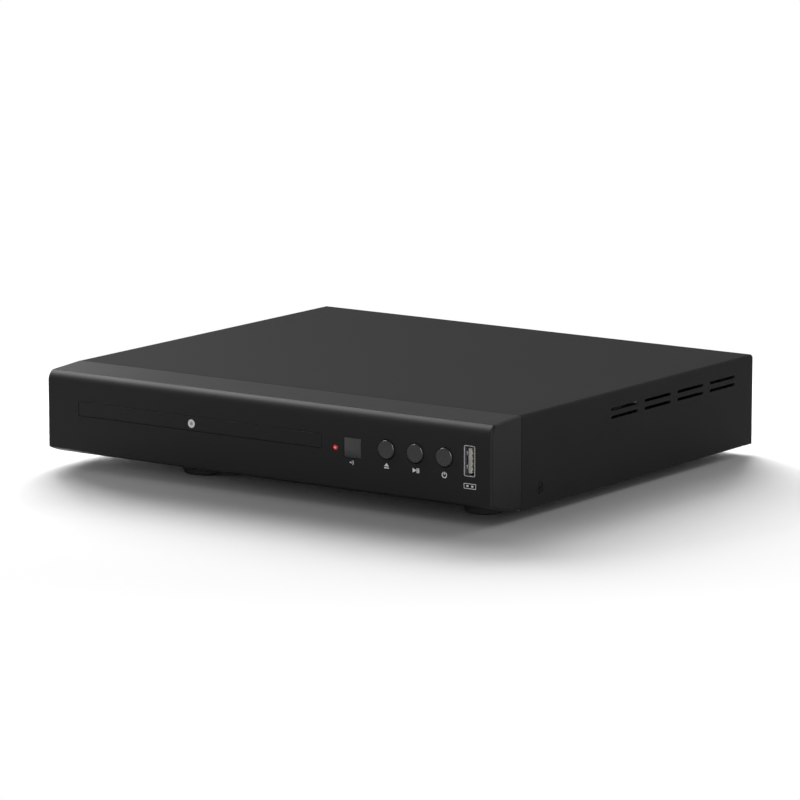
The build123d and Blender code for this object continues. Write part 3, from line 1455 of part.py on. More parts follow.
def mains_inlet():
    """Figure-8 inlet: a block on the power board with a flange outside the panel."""
    y = (rear_panel_back - inlet_depth, rear_panel_back + inlet_flange / 2)
    body = block(around(inlet_x, inlet_width), y, around(inlet_z, inlet_height))
    flange_y = (rear_panel_back, rear_panel_back + inlet_flange / 2)
    flange_x = around(inlet_x, inlet_width + 2 * inlet_flange)
    flange_z = around(inlet_z, inlet_height + inlet_flange)
    body += block(flange_x, flange_y, flange_z)
    recess_y = flange_y[1] - inlet_recess_depth
    plane = Plane(origin=(inlet_x, recess_y, inlet_z), x_dir=(-1, 0, 0), z_dir=(0, 1, 0))
    recess = extrude(plane * SlotOverall(inlet_recess_width, inlet_recess_height), inlet_recess_depth)
    body -= recess
    for side in (-1, 1):
        pin_x = inlet_x + side * inlet_pin_spacing / 2
        pin_y = (recess_y - inlet_pin_diameter, recess_y)
        body -= bar_y(pin_x, pin_y, inlet_z, inlet_pin_diameter + 2 * thread_gap)
    return body


def inlet_pins():
    """The two contact pins of the inlet."""
    group = []
    for side in (-1, 1):
        start = rear_panel_back + inlet_flange / 2 - inlet_recess_depth
        y = (start - inlet_pin_diameter, start + inlet_pin_length)
        pin = bar_y(inlet_x + side * inlet_pin_spacing / 2, y, inlet_z, inlet_pin_diameter)
        group.append(fillet(pin.edges().group_by(Axis.Y)[-1], inlet_pin_diameter / 4))
    return group


pieces = {
    "bottom_chassis": bottom_chassis(),
    "rear_panel": rear_panel(),
    "top_cover": top_cover(),
    "front_fascia": front_fascia(),
    "feet": feet(),
    "cover_screws": cover_screws(),
    "tact_switches": tact_switches(),
    "ir_window": ir_window(),
    "led_lens": led_lens(),
    "indicator_led": indicator_led(),
    "ir_receiver": ir_receiver(),
    "usb_shell": usb_shell(),
    "usb_tongue": usb_tongue(),
    "usb_contacts": usb_contacts(),
    "front_board": front_board(),
    "disc_tray": disc_tray(),
    "tray_door": tray_door(),
    "drive_gear": drive_gear(),
    "pulley_gear": pulley_gear(),
    "motor_pulley": motor_pulley(),
    "drive_belt": drive_belt(),
    "loading_motor": loading_motor(),
    "loader_frame": loader_frame(),
    "clamp_bridge": clamp_bridge(),
    "clamper": clamper(),
    "cam_slider": cam_slider(),
    "traverse_frame": traverse_frame(),
    "traverse_bushes": traverse_bushes(),
    "guide_rods": guide_rods(),
    "spindle_motor": spindle_motor(),
    "turntable": turntable(),
    "optical_pickup": optical_pickup(),
    "pickup_lens": pickup_lens(),
    "sled_gear": sled_gear(),
    "sled_pinion": sled_pinion(),
    "sled_motor": sled_motor(),
    "main_board": board(main_board_x, main_board_y),
    "power_board": board(power_board_x, power_board_y),
    "main_board_chips": main_board_chips(),
    "capacitors": capacitors(),
    "mains_capacitor": mains_capacitor(),
    "transformer_core": transformer_core(),
    "transformer_winding": transformer_winding(),
    "fuse": fuse(),
    "heatsink": heatsink(),
    "flat_cables": flat_cables(),
    "power_cable": power_cable(),
    "internal_screws": internal_screws(),
    "av_jack_block": av_jack_block(),
    "phono_barrels": phono_barrels(),
    "jack_collars": jack_collars(),
    "hdmi_shell": hdmi_shell(),
    "hdmi_tongue": hdmi_tongue(),
    "mains_inlet": mains_inlet(),
    "inlet_pins": inlet_pins(),
}
for name, x in zip(button_names, button_x):
    pieces[name + "_button"] = button(x)

os.makedirs("parts", exist_ok=True)
for name, piece in pieces.items():
    shape = Compound(children=[Part(s.wrapped) for s in piece]) if isinstance(piece, list) else piece
    export_step(shape, f"parts/{name}.step")
print(f"{len(pieces)} pieces, {cabinet_width:.1f} x {cabinet_depth:.1f} x {cabinet_top:.1f}")
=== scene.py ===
import json
import math

import bpy
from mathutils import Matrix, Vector


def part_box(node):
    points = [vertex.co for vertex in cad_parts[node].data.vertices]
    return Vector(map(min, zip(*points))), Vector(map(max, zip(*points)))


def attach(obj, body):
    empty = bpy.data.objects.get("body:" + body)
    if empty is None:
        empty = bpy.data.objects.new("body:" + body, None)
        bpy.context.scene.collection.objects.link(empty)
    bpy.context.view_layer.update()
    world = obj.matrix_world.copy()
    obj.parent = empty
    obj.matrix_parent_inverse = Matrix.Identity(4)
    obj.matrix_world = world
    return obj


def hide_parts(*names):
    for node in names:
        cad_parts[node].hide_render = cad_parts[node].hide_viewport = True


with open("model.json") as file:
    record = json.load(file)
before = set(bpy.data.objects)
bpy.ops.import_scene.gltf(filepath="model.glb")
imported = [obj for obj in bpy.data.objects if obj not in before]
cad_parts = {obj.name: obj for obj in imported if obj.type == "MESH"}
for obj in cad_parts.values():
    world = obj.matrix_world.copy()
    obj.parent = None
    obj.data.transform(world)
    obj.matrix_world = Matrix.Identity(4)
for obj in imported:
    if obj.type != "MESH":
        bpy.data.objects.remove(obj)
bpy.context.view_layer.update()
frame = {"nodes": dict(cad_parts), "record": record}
nodes = frame["nodes"]
mm = 0.001
print("frame loaded,", len(nodes), "nodes")


# a wire carries a shader socket, and sums on wires add Math nodes
class Wire:
    def __init__(self, shader, socket):
        self.shader = shader
        self.socket = socket

    def maths(self, operation, *values):
        return self.shader.add("ShaderNodeMath", {"operation": operation}, dict(enumerate(values)))

    def __add__(self, other):
        return self.maths("ADD", self, other)

    def __radd__(self, other):
        return self.maths("ADD", other, self)

    def __sub__(self, other):
        return self.maths("SUBTRACT", self, other)

    def __rsub__(self, other):
        return self.maths("SUBTRACT", other, self)

    def __mul__(self, other):
        return self.maths("MULTIPLY", self, other)

    def __rmul__(self, other):
        return self.maths("MULTIPLY", other, self)

    def __truediv__(self, other):
        return self.maths("DIVIDE", self, other)

    def __rtruediv__(self, other):
        return self.maths("DIVIDE", other, self)

    def __gt__(self, other):
        return self.maths("GREATER_THAN", self, other)

    def __lt__(self, other):
        return self.maths("LESS_THAN", self, other)


class Shader:
    def __init__(self, name, world=None):
        self.owner = world or bpy.data.materials.new(name)
        self.owner.use_nodes = True
        self.tree = self.owner.node_tree
        self.tree.nodes.clear()

    @property
    def place(self):
        return self.add("ShaderNodeTexCoord", output="Object")

    # any node: its settings are set first, then its sockets are filled or linked
    def add(self, kind, settings=None, sockets=None, output=0):
        node = self.tree.nodes.new(kind)
        for key, value in (settings or {}).items():
            if key == "stops":
                self.setStops(node.color_ramp, value)
            else:
                setattr(node, key, value)
        for key, value in (sockets or {}).items():
            if isinstance(value, Wire):
                self.tree.links.new(value.socket, node.inputs[key])
            else:
                node.inputs[key].default_value = value
        return Wire(self, node.outputs[output]) if len(node.outputs) else node

    def setStops(self, ramp, stops):
        while len(ramp.elements) < len(stops):
            ramp.elements.new(0.5)
        for element, (position, color) in zip(ramp.elements, stops):
            element.position = position
            element.color = color

    # noise from 0 to 1 whose lumps are about size metres across
    def noise(self, size, detail=2.0, stretch=(1, 1, 1)):
        place = self.add("ShaderNodeMapping", {}, {"Vector": self.place, "Scale": stretch})
        return self.add("ShaderNodeTexNoise", {}, {"Vector": place, "Scale": 1 / size, "Detail": detail})

    def blend(self, factor, first, second):
        return self.add("ShaderNodeMix", {"data_type": "RGBA"}, {0: factor, 6: first, 7: second}, output=2)

    def bump(self, height, depth):
        return self.add("ShaderNodeBump", {}, {"Height": height, "Distance": depth, "Strength": 1.0})

    # the surface and the output, with a socket's name written with _ for its spaces
    def finish(self, **sockets):
        named = {key.replace("_", " "): value for key, value in sockets.items()}
        surface = self.add("ShaderNodeBsdfPrincipled", {}, named)
        self.add("ShaderNodeOutputMaterial", {}, {"Surface": surface})
        return self.owner


def grey(level, tint=0.0):
    return (level, level, level * (1 + tint), 1)


def shaded(color, share):
    return tuple(min(1, c * share) for c in color[:3]) + (1,)


# Finishes: a swing is how far a pattern from 0 to 1 moves the roughness in all
paintLook = {
    "shade": 0.013,
    "tint": 0.03,
    "spread": 0.15,
    "cloud": 26 * mm,
    "grain": 0.45 * mm,
    "grainDepth": 0.02 * mm,
    "detail": 3,
    "roughness": 0.70,
    "grainSwing": 0.12,
    "cloudSwing": 0.06,
    "specular": 0.06,
}
fasciaLook = {
    "shade": 0.0062,
    "tint": 0.04,
    "spread": 0.1,
    "cloud": 18 * mm,
    "grain": 0.16 * mm,
    "grainDepth": 0.004 * mm,
    "detail": 2,
    "roughness": 0.50,
    "grainSwing": 0.10,
    "cloudSwing": 0.06,
    "specular": 0.15,
}


# a near-black skin with soft clouds of shade and a fine grain
def grainedSkin(name, look):
    shader = Shader(name)
    cloud = shader.noise(look["cloud"], look["detail"])
    grain = shader.noise(look["grain"], look["detail"])
    dark = grey(look["shade"] * (1 - look["spread"]), look["tint"])
    light = grey(look["shade"] * (1 + look["spread"]), look["tint"])
    return shader.finish(
        Base_Color=shader.blend(cloud, dark, light),
        Roughness=look["roughness"] + look["grainSwing"] * (grain - 0.5) + look["cloudSwing"] * (cloud - 0.5),
        Specular_IOR_Level=look["specular"],
        Normal=shader.bump(grain, look["grainDepth"]),
    )


def coverPaint():
    return grainedSkin("coverPaint", paintLook)


def fasciaPlastic():
    return grainedSkin("fasciaPlastic", fasciaLook)


plasticLook = {
    "cloud": 9 * mm,
    "darkShare": 0.88,
    "lightShare": 1.1,
    "speck": 0.25 * mm,
    "speckDepth": 0.006 * mm,
    "speckSwing": 0.12,
    "cloudSwing": 0.08,
}


def mouldedPlastic(name, color, roughness=0.5, specular=0.35):
    shader = Shader(name)
    look = plasticLook
    cloud = shader.noise(look["cloud"], 3)
    speck = shader.noise(look["speck"], 2)
    return shader.finish(
        Base_Color=shader.blend(cloud, shaded(color, look["darkShare"]), shaded(color, look["lightShare"])),
        Roughness=roughness + look["speckSwing"] * (speck - 0.5) + look["cloudSwing"] * (cloud - 0.5),
        Specular_IOR_Level=specular,
        Normal=shader.bump(speck, look["speckDepth"]),
    )


metalLook = {
    "scratch": 14 * mm,
    "scratchDepth": 0.003 * mm,
    "scratchSwing": 0.16,
    "patch": 7 * mm,
    "patchShare": 0.86,
    "patchSwing": 0.06,
}


# brushed, turned or rolled metal, with fine scratches along the axis of the least stretch
def metal(name, color, roughness, stretch=(4, 90, 90)):
    shader = Shader(name)
    look = metalLook
    scratch = shader.noise(look["scratch"], 4, stretch)
    patch = shader.noise(look["patch"], 2)
    return shader.finish(
        Base_Color=shader.blend(patch, shaded(color, look["patchShare"]), color),
        Metallic=1.0,
        Roughness=roughness + look["scratchSwing"] * (scratch - 0.5) + look["patchSwing"] * (patch - 0.5),
        Normal=shader.bump(scratch, look["scratchDepth"]),
    )


zincLook = {
    "flake": 3.5 * mm,
    "dark": (0.46, 0.47, 0.48, 1),
    "light": (0.51, 0.52, 0.53, 1),
    "rolled": 11 * mm,
    "rolledStretch": (3, 70, 3),
    "rolledDepth": 0.004 * mm,
    "roughness": 0.38,
    "flakeSwing": 0.06,
    "rolledSwing": 0.10,
}


# zinc coated sheet: flat crystals of slightly different greys
def zincSheet():
    shader = Shader("zincSheet")
    look = zincLook
    sockets = {"Vector": shader.place, "Scale": 1 / look["flake"]}
    crystals = shader.add("ShaderNodeTexVoronoi", {"feature": "F1"}, sockets, output="Color")
    flake = shader.add("ShaderNodeSeparateColor", {}, {"Color": crystals})
    rolled = shader.noise(look["rolled"], 4, look["rolledStretch"])
    unevenness = look["flakeSwing"] * (flake - 0.5) + look["rolledSwing"] * (rolled - 0.5)
    return shader.finish(
        Base_Color=shader.blend(flake, look["dark"], look["light"]),
        Metallic=1.0,
        Roughness=look["roughness"] + unevenness,
        Normal=shader.bump(rolled, look["rolledDepth"]),
    )


rubberLook = {
    "dust": 5 * mm,
    "darkShare": 0.8,
    "lightShare": 1.5,
    "grain": 0.4 * mm,
    "grainDepth": 0.02 * mm,
    "roughness": 0.82,
    "grainSwing": 0.14,
    "specular": 0.25,
}


def rubberFinish(name, shade):
    shader = Shader(name)
    look = rubberLook
    dust = shader.noise(look["dust"], 4)
    grain = shader.noise(look["grain"], 3)
    return shader.finish(
        Base_Color=shader.blend(dust, grey(shade * look["darkShare"]), grey(shade * look["lightShare"])),
        Roughness=look["roughness"] + look["grainSwing"] * (grain - 0.5),
        Specular_IOR_Level=look["specular"],
        Normal=shader.bump(grain, look["grainDepth"]),
    )


windowLook = {
    "cloud": 3 * mm,
    "dark": (0.015, 0.014, 0.015, 1),
    "light": (0.020, 0.018, 0.020, 1),
    "roughness": 0.14,
    "cloudSwing": 0.05,
    "specular": 0.40,
}


def smokedWindow():
    shader = Shader("smokedWindow")
    look = windowLook
    cloud = shader.noise(look["cloud"], 2)
    return shader.finish(
        Base_Color=shader.blend(cloud, look["dark"], look["light"]),
        Roughness=look["roughness"] + look["cloudSwing"] * (cloud - 0.5),
        Specular_IOR_Level=look["specular"],
    )


# the lamp's glow falls off from its middle, along stops that are shares of its reach
lampLook = {
    "stops": [
        (0.06, (1.0, 0.50, 0.46, 1)),
        (0.38, (0.50, 0.035, 0.04, 1)),
        (0.70, (0.13, 0.004, 0.006, 1)),
    ],
    "reach": 1.25 * mm,
    "glow": 0.70,
    "lens": (0.30, 0.01, 0.012, 1),
    "roughness": 0.22,
    "speck": 0.6 * mm,
    "speckSwing": 0.05,
}


def litLamp():
    shader = Shader("litLamp")
    look = lampLook
    low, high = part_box("led_lens")
    middle = (low + high) / 2
    sockets = {"Vector": shader.place, "Location": (-middle.x, 0, -middle.z), "Scale": (1, 0, 1)}
    fromMiddle = shader.add("ShaderNodeMapping", {}, sockets)
    reach = shader.add("ShaderNodeVectorMath", {"operation": "LENGTH"}, {0: fromMiddle}, output="Value")
    ramp = shader.add("ShaderNodeValToRGB", {"stops": look["stops"]}, {"Fac": reach / look["reach"]})
    return shader.finish(
        Base_Color=look["lens"],
        Roughness=look["roughness"] + look["speckSwing"] * shader.noise(look["speck"]),
        Emission_Color=ramp,
        Emission_Strength=look["glow"],
    )


boardLook = {
    "trackWay": {"offset": 0.37, "squash": 0.7},
    "tracks": {"Scale": 1 / (9 * mm), "Mortar Size": 0.035, "Brick Width": 0.9, "Row Height": 0.28},
    "trackHeight": 0.03 * mm,
    "trackColor": (0.035, 0.19, 0.06, 1),
    "cloud": 12 * mm,
    "dark": (0.010, 0.075, 0.028, 1),
    "light": (0.016, 0.105, 0.040, 1),
    "roughness": 0.34,
    "cloudSwing": 0.08,
}


# green lacquer over copper tracks
def circuitBoard():
    shader = Shader("circuitBoard")
    look = boardLook
    sockets = {"Vector": shader.place, **look["tracks"]}
    tracks = shader.add("ShaderNodeTexBrick", look["trackWay"], sockets, output="Fac")
    cloud = shader.noise(look["cloud"], 3)
    lacquer = shader.blend(cloud, look["dark"], look["light"])
    return shader.finish(
        Base_Color=shader.blend(tracks, lacquer, look["trackColor"]),
        Roughness=look["roughness"] + look["cloudSwing"] * (cloud - 0.5),
        Normal=shader.bump(tracks, look["trackHeight"]),
    )


collarLook = {
    "colors": ((0.62, 0.030, 0.026, 1), (0.72, 0.70, 0.66, 1), (0.78, 0.48, 0.03, 1)),
    "speck": 0.3 * mm,
    "speckDepth": 0.005 * mm,
    "roughness": 0.4,
    "speckSwing": 0.1,
}


# three usual jack colours, one for each collar from left to right
def jackColors():
    shader = Shader("jackColors")
    look = collarLook
    left, middle, right = look["colors"]
    low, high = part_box("jack_collars")
    across = shader.add("ShaderNodeSeparateXYZ", {}, {"Vector": shader.place}, output="X")
    share = (across - low.x) / (high.x - low.x)
    speck = shader.noise(look["speck"])
    return shader.finish(
        Base_Color=shader.blend(share > 2 / 3, shader.blend(share > 1 / 3, left, middle), right),
        Roughness=look["roughness"] + look["speckSwing"] * (speck - 0.5),
        Normal=shader.bump(speck, look["speckDepth"]),
    )


glassLook = {"smear": 2 * mm, "roughness": 0.03, "smearSwing": 0.04, "ior": 1.5, "transmission": 0.85}


def clearGlass(name, tint):
    shader = Shader(name)
    look = glassLook
    smear = shader.noise(look["smear"], 2)
    return shader.finish(
        Base_Color=tint,
        Roughness=look["roughness"] + look["smearSwing"] * smear,
        IOR=look["ior"],
        Transmission_Weight=look["transmission"],
    )


cableLook = {
    "rib": 6 * mm,
    "ribHeight": 0.05 * mm,
    "turn": 45,
    "dark": (0.55, 0.57, 0.60, 1),
    "light": (0.74, 0.76, 0.78, 1),
    "roughness": 0.45,
    "ribSwing": 0.1,
}


# ribbed white flat cable
def flatCable():
    shader = Shader("flatCable")
    look = cableLook
    turn = (0, 0, math.radians(look["turn"]))
    place = shader.add("ShaderNodeMapping", {}, {"Vector": shader.place, "Rotation": turn})
    ribs = shader.add("ShaderNodeTexWave", {}, {"Vector": place, "Scale": 1 / look["rib"]})
    return shader.finish(
        Base_Color=shader.blend(ribs, look["dark"], look["light"]),
        Roughness=look["roughness"] + look["ribSwing"] * (ribs - 0.5),
        Normal=shader.bump(ribs, look["ribHeight"]),
    )


inkLook = {
    "wear": 0.5 * mm,
    "dark": (0.44, 0.44, 0.45, 1),
    "light": (0.54, 0.54, 0.55, 1),
    "roughness": 0.6,
    "wearSwing": 0.1,
}


# white printing ink, slightly worn
def whiteInk():
    shader = Shader("whiteInk")
    look = inkLook
    wear = shader.noise(look["wear"], 3)
    return shader.finish(
        Base_Color=shader.blend(wear, look["dark"], look["light"]),
        Roughness=look["roughness"] + look["wearSwing"] * (wear - 0.5),
    )


finishes = {
    "cover_paint": coverPaint(),
    "bare_steel": zincSheet(),
    "black_screw": mouldedPlastic("blackScrew", (0.006, 0.006, 0.006), 0.55, 0.12),
    "bright_steel": metal("brightSteel", (0.80, 0.80, 0.81, 1), 0.24, (30, 30, 30)),
    "fascia_plastic": fasciaPlastic(),
    "button_plastic": mouldedPlastic("buttonPlastic", (0.008, 0.008, 0.009), 0.26, 0.34),
    "window_plastic": smokedWindow(),
    "lamp_red": litLamp(),
    "black_plastic": mouldedPlastic("blackPlastic", (0.014, 0.014, 0.015), 0.5),
    "loader_plastic": mouldedPlastic("loaderPlastic", (0.020, 0.020, 0.022), 0.55),
    "tray_plastic": mouldedPlastic("trayPlastic", (0.022, 0.022, 0.024), 0.5),
    "gear_plastic": mouldedPlastic("gearPlastic", (0.66, 0.64, 0.58), 0.4),
    "pale_plastic": mouldedPlastic("palePlastic", (0.72, 0.71, 0.69), 0.45),
    "rubber": rubberFinish("rubber", 0.018),
    "steel_rod": metal("groundRod", (0.74, 0.74, 0.76, 1), 0.14, (60, 4, 60)),
    "motor_can": metal("motorCan", (0.60, 0.60, 0.60, 1), 0.32, (40, 40, 40)),
    "board_green": circuitBoard(),
    "chip_black": mouldedPlastic("chipBlack", (0.016, 0.016, 0.018), 0.45),
    "can_black": mouldedPlastic("canSleeve", (0.018, 0.022, 0.040), 0.22, 0.5),
    "ferrite": rubberFinish("ferrite", 0.035),
    "winding_tape": mouldedPlastic("windingTape", (0.62, 0.42, 0.06), 0.25, 0.5),
    "fuse_glass": clearGlass("fuseGlass", (0.85, 0.90, 0.90, 1)),
    "aluminium": metal("millAluminium", (0.72, 0.72, 0.74, 1), 0.34),
    "cable_white": flatCable(),
    "contact_brass": metal("giltContact", (0.83, 0.62, 0.24, 1), 0.2, (20, 20, 60)),
    "collar_plastic": jackColors(),
    "lens_glass": clearGlass("coatedLens", (0.55, 0.62, 0.95, 1)),
}
markInk = whiteInk()
portPlastic = mouldedPlastic("portPlastic", (0.26, 0.26, 0.26), 0.45)
portSteel = metal("portSteel", (0.42, 0.42, 0.43, 1), 0.38, (30, 30, 30))
print("finishes made,", len(finishes))

# every CAD node takes the finish of its slot
for part in frame["record"]["subparts"]:
    node = nodes[part["node"]]
    node.data.materials.clear()
    node.data.materials.append(finishes[part["material_slot"]])

# Modelling by hand: places within a hair count as level, and points within mergeReach become one
hair = 0.01 * mm
mergeReach = 0.002 * mm
facing = 0.5  # a face looks along an axis when its normal has more than this there


def clearSelection():
    bpy.ops.object.select_all(action="DESELECT")


def pick(piece):
    clearSelection()
    piece.select_set(True)
    bpy.context.view_layer.objects.active = piece


def leaveEdit():
    bpy.ops.object.mode_set(mode="OBJECT")


# edit mode with the whole piece selected
def editAll(piece):
    pick(piece)
    bpy.ops.object.mode_set(mode="EDIT")
    bpy.ops.mesh.select_all(action="SELECT")


def extrudeBy(x, y, z):
    bpy.ops.mesh.extrude_region_move(TRANSFORM_OT_translate={"value": (x, y, z)})


def applyPlace(piece):
    pick(piece)
    bpy.ops.object.transform_apply(location=True, rotation=True, scale=True)


def closeMesh(piece):
    editAll(piece)
    bpy.ops.mesh.remove_doubles(threshold=mergeReach)
    bpy.ops.mesh.normals_make_consistent(inside=False)
    leaveEdit()


# name, smooth shading and finish, with the place left in the mesh
def complete(piece, name, material, angle=32):
    applyPlace(piece)
    piece.name = name
    piece.data.name = name
    bpy.ops.object.shade_smooth_by_angle(angle=math.radians(angle))
    piece.data.materials.clear()
    piece.data.materials.append(material)


def joined(pieces):
    clearSelection()
    for piece in pieces:
        piece.select_set(True)
    bpy.context.view_layer.objects.active = pieces[0]
    if len(pieces) > 1:
        bpy.ops.object.join()
    return bpy.context.object


# a turned part along +Z, extruded and resized ring by ring from its (height, radius) steps
def turned(steps, sides):
    clearSelection()
    height, radius = steps[0]
    start = (0, 0, height)
    bpy.ops.mesh.primitive_circle_add(vertices=sides, radius=radius, fill_type="NGON", location=start)
    piece = bpy.context.object
    applyPlace(piece)
    editAll(piece)
    for nextHeight, nextRadius in steps[1:]:
        extrudeBy(0, 0, nextHeight - height)
        share = nextRadius / radius
        bpy.ops.transform.resize(value=(share, share, 1), center_override=(0, 0, nextHeight))
        height, radius = nextHeight, nextRadius
    leaveEdit()
    closeMesh(piece)
    return piece


# the steps of a quarter round from one height and radius to another, bulging outwards
def roundSteps(start, end, count):
    steps = []
    for i in range(1, count + 1):
        turn = math.pi / 2 * i / count
        height = start[0] + (end[0] - start[0]) * math.sin(turn)
        radius = end[1] + (start[1] - end[1]) * math.cos(turn)
        steps.append((height, radius))
    return steps


def standAt(piece, place, outward):
    piece.rotation_euler = Vector(outward).to_track_quat("Z", "Y").to_euler()
    piece.location = place
    applyPlace(piece)


# selects the faces or edges that pass a test, and leaves the piece in edit mode
def selectWhere(piece, kind, test):
    pick(piece)
    bpy.ops.object.mode_set(mode="EDIT")
    bpy.ops.mesh.select_mode(type=kind)
    bpy.ops.mesh.select_all(action="DESELECT")
    leaveEdit()
    for item in piece.data.polygons if kind == "FACE" else piece.data.edges:
        item.select = test(item)
    bpy.ops.object.mode_set(mode="EDIT")


def selectFaces(piece, test):
    selectWhere(piece, "FACE", test)


# edges are told by their two ends
def selectEdges(piece, test):
    selectWhere(piece, "EDGE", lambda edge: test(*[piece.data.vertices[i].co for i in edge.vertices]))


# rounds the selected edges and leaves edit mode
def bevelled(piece, width, segments):
    bpy.ops.mesh.bevel(offset=width, segments=segments, affect="EDGES")
    leaveEdit()
    return piece


def block(low, high):
    clearSelection()
    bpy.ops.mesh.primitive_cube_add(size=1, location=[(a + b) / 2 for a, b in zip(low, high)])
    piece = bpy.context.object
    piece.scale = [b - a for a, b in zip(low, high)]
    applyPlace(piece)
    return piece


# a block with every edge rounded
def softBlock(low, high, edge, segments=3):
    piece = block(low, high)
    selectEdges(piece, lambda a, b: True)
    return bevelled(piece, edge, segments)


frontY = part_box("front_fascia")[0].y


def buttonMiddle(node):
    low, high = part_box(node)
    return (low.x + high.x) / 2


# Push buttons: a shallow dish inside a bevelled rim, with the flange and stem behind
buttonLook = {
    "capRadius": 4.15 * mm,
    "rim": 0.55 * mm,
    "rimDrop": 0.5 * mm,
    "rimSteps": 5,
    "dish": 0.12 * mm,
    "dishRings": ((0.45, 0.72), (0.8, 0.45), (1.0, 0.15)),  # shares of the dish and of the cap's radius
    "proud": 0.8 * mm,
    "wall": 2.5 * mm,
    "flange": 1.2 * mm,
    "stemRadius": 1.7 * mm,
    "sides": 72,
}


def makeButton(node):
    look = buttonLook
    low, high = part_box(node)
    middle = (low + high) / 2
    flangeRadius = (high.x - low.x) / 2
    face = look["proud"]
    steps = [
        (frontY - high.y, look["stemRadius"]),
        (-look["wall"] - look["flange"], look["stemRadius"]),
        (-look["wall"] - look["flange"], flangeRadius),
        (-look["wall"], flangeRadius),
        (-look["wall"], look["capRadius"]),
        (face - look["rimDrop"], look["capRadius"]),
    ]
    steps += roundSteps(steps[-1], (face, look["capRadius"] - look["rim"]), look["rimSteps"])
    steps += [(face - look["dish"] * deep, look["capRadius"] * wide) for deep, wide in look["dishRings"]]
    cap = turned(steps, look["sides"])
    standAt(cap, (middle.x, frontY, middle.z), (0, -1, 0))
    complete(cap, node + "Cap", finishes["button_plastic"])
    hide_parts(node)
    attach(cap, node)
    return cap


buttonCaps = [makeButton(button) for button in ("eject_button", "play_button", "power_button")]
print("buttons made")


# Printed marks: signs drawn flat as seen from the front, then given the thickness of ink
markLook = {
    "ink": 0.03 * mm,
    "sunk": 0.01 * mm,
    "barRound": 0.2,  # share of a bar's lesser side
    "tipRound": 0.08,  # share of a triangle's radius
    "ringSides": 60,
    "height": 20.3 * mm,
    "bar": 0.5 * mm,
    "ejectTriangle": (2.6 * mm, 1.45 * mm),
    "ejectRise": 0.85 * mm,
    "ejectGap": 0.42 * mm,
    "playTriangle": (2.1 * mm, 1.9 * mm),
    "playRise": 0.3 * mm,
    "playPlaces": (-0.75 * mm, 0.9 * mm, 1.75 * mm),
    "powerRing": (1.35 * mm, 0.42 * mm),
    "powerSpread": 300,
    "powerBar": (0.42 * mm, 1.3 * mm),
    "powerBarRise": 0.75 * mm,
    "discPlace": (-39.0 * mm, 28.0 * mm),
    "discRings": ((1.85 * mm, 1.1 * mm), (0.5 * mm, 0.22 * mm)),
    "wavePlace": (46.9 * mm, 20.3 * mm),
    "waveDot": 0.34 * mm,
    "waveRadii": (1.0 * mm, 1.7 * mm),
    "waveLine": 0.3 * mm,
    "waveSpread": 76,
    "portPlace": (109.0 * mm, 16.9 * mm),
    "portSize": (6.2 * mm, 2.3 * mm),
    "portLine": 0.24 * mm,
    "portSeam": 0.04 * mm,
    "portPin": (1.0 * mm, 0.75 * mm),
    "portPinOffset": 1.24 * mm,
}


# a flat triangle with its tip up, or to the right when it is turned by -90
def markTriangle(x, z, width, height, turn):
    clearSelection()
    bpy.ops.mesh.primitive_circle_add(vertices=3, radius=1, fill_type="NGON")
    piece = bpy.context.object
    editAll(piece)
    bpy.ops.mesh.bevel(offset=markLook["tipRound"], segments=3, affect="VERTICES")
    leaveEdit()
    piece.scale = (width / math.sqrt(3), height / 1.5, 1)
    applyPlace(piece)
    piece.rotation_euler = (0, 0, math.radians(turn))
    piece.location = (x, z, 0)
    applyPlace(piece)
    return piece


def markBar(x, z, width, height):
    clearSelection()
    bpy.ops.mesh.primitive_plane_add(size=1, location=(x, z, 0))
    piece = bpy.context.object
    piece.scale = (width, height, 1)
    applyPlace(piece)
    editAll(piece)
    bpy.ops.mesh.bevel(offset=min(width, height) * markLook["barRound"], segments=2, affect="VERTICES")
    leaveEdit()
    return piece


# a flat ring, or the part of it that lies within spread degrees round the angle middle
def markRing(x, z, radius, line, middle=0, spread=360):
    clearSelection()
    sides = markLook["ringSides"]
    bpy.ops.mesh.primitive_circle_add(vertices=sides, radius=radius, fill_type="NOTHING", location=(x, z, 0))
    piece = bpy.context.object
    applyPlace(piece)
    share = (radius - line) / radius
    editAll(piece)
    bpy.ops.mesh.extrude_edges_move()
    bpy.ops.transform.resize(value=(share, share, 1), center_override=(x, z, 0))
    leaveEdit()
    way = Vector((math.cos(math.radians(middle)), math.sin(math.radians(middle)), 0))
    centre = Vector((x, z, 0))
    if spread < 360:
        selectFaces(piece, lambda face: math.degrees((face.center - centre).angle(way)) > spread / 2)
        bpy.ops.mesh.delete(type="FACE")
        leaveEdit()
    return piece


def printMark(flats, name, node, body):
    piece = joined(flats)
    editAll(piece)
    extrudeBy(0, 0, markLook["ink"] + markLook["sunk"])
    leaveEdit()
    piece.rotation_euler = (math.pi / 2, 0, 0)
    piece.location = (0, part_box(node)[0].y + markLook["sunk"], 0)
    applyPlace(piece)
    closeMesh(piece)
    complete(piece, name, markInk)
    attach(piece, body)


def printEjectMark():
    look = markLook
    x = buttonMiddle("eject_button")
    z = look["height"] + look["ejectRise"]
    width, height = look["ejectTriangle"]
    flats = [markTriangle(x, z, width, height, 0)]
    flats.append(markBar(x, z - height / 3 - look["ejectGap"] - look["bar"] / 2, width, look["bar"]))
    printMark(flats, "ejectMark", "front_fascia", "cabinet")


def printPlayMark():
    look = markLook
    x = buttonMiddle("play_button")
    z = look["height"] + look["playRise"]
    width, height = look["playTriangle"]
    trianglePlace, *barPlaces = look["playPlaces"]
    flats = [markTriangle(x + trianglePlace, z, width, height, -90)]
    flats += [markBar(x + place, z, look["bar"], width) for place in barPlaces]
    printMark(flats, "playMark", "front_fascia", "cabinet")


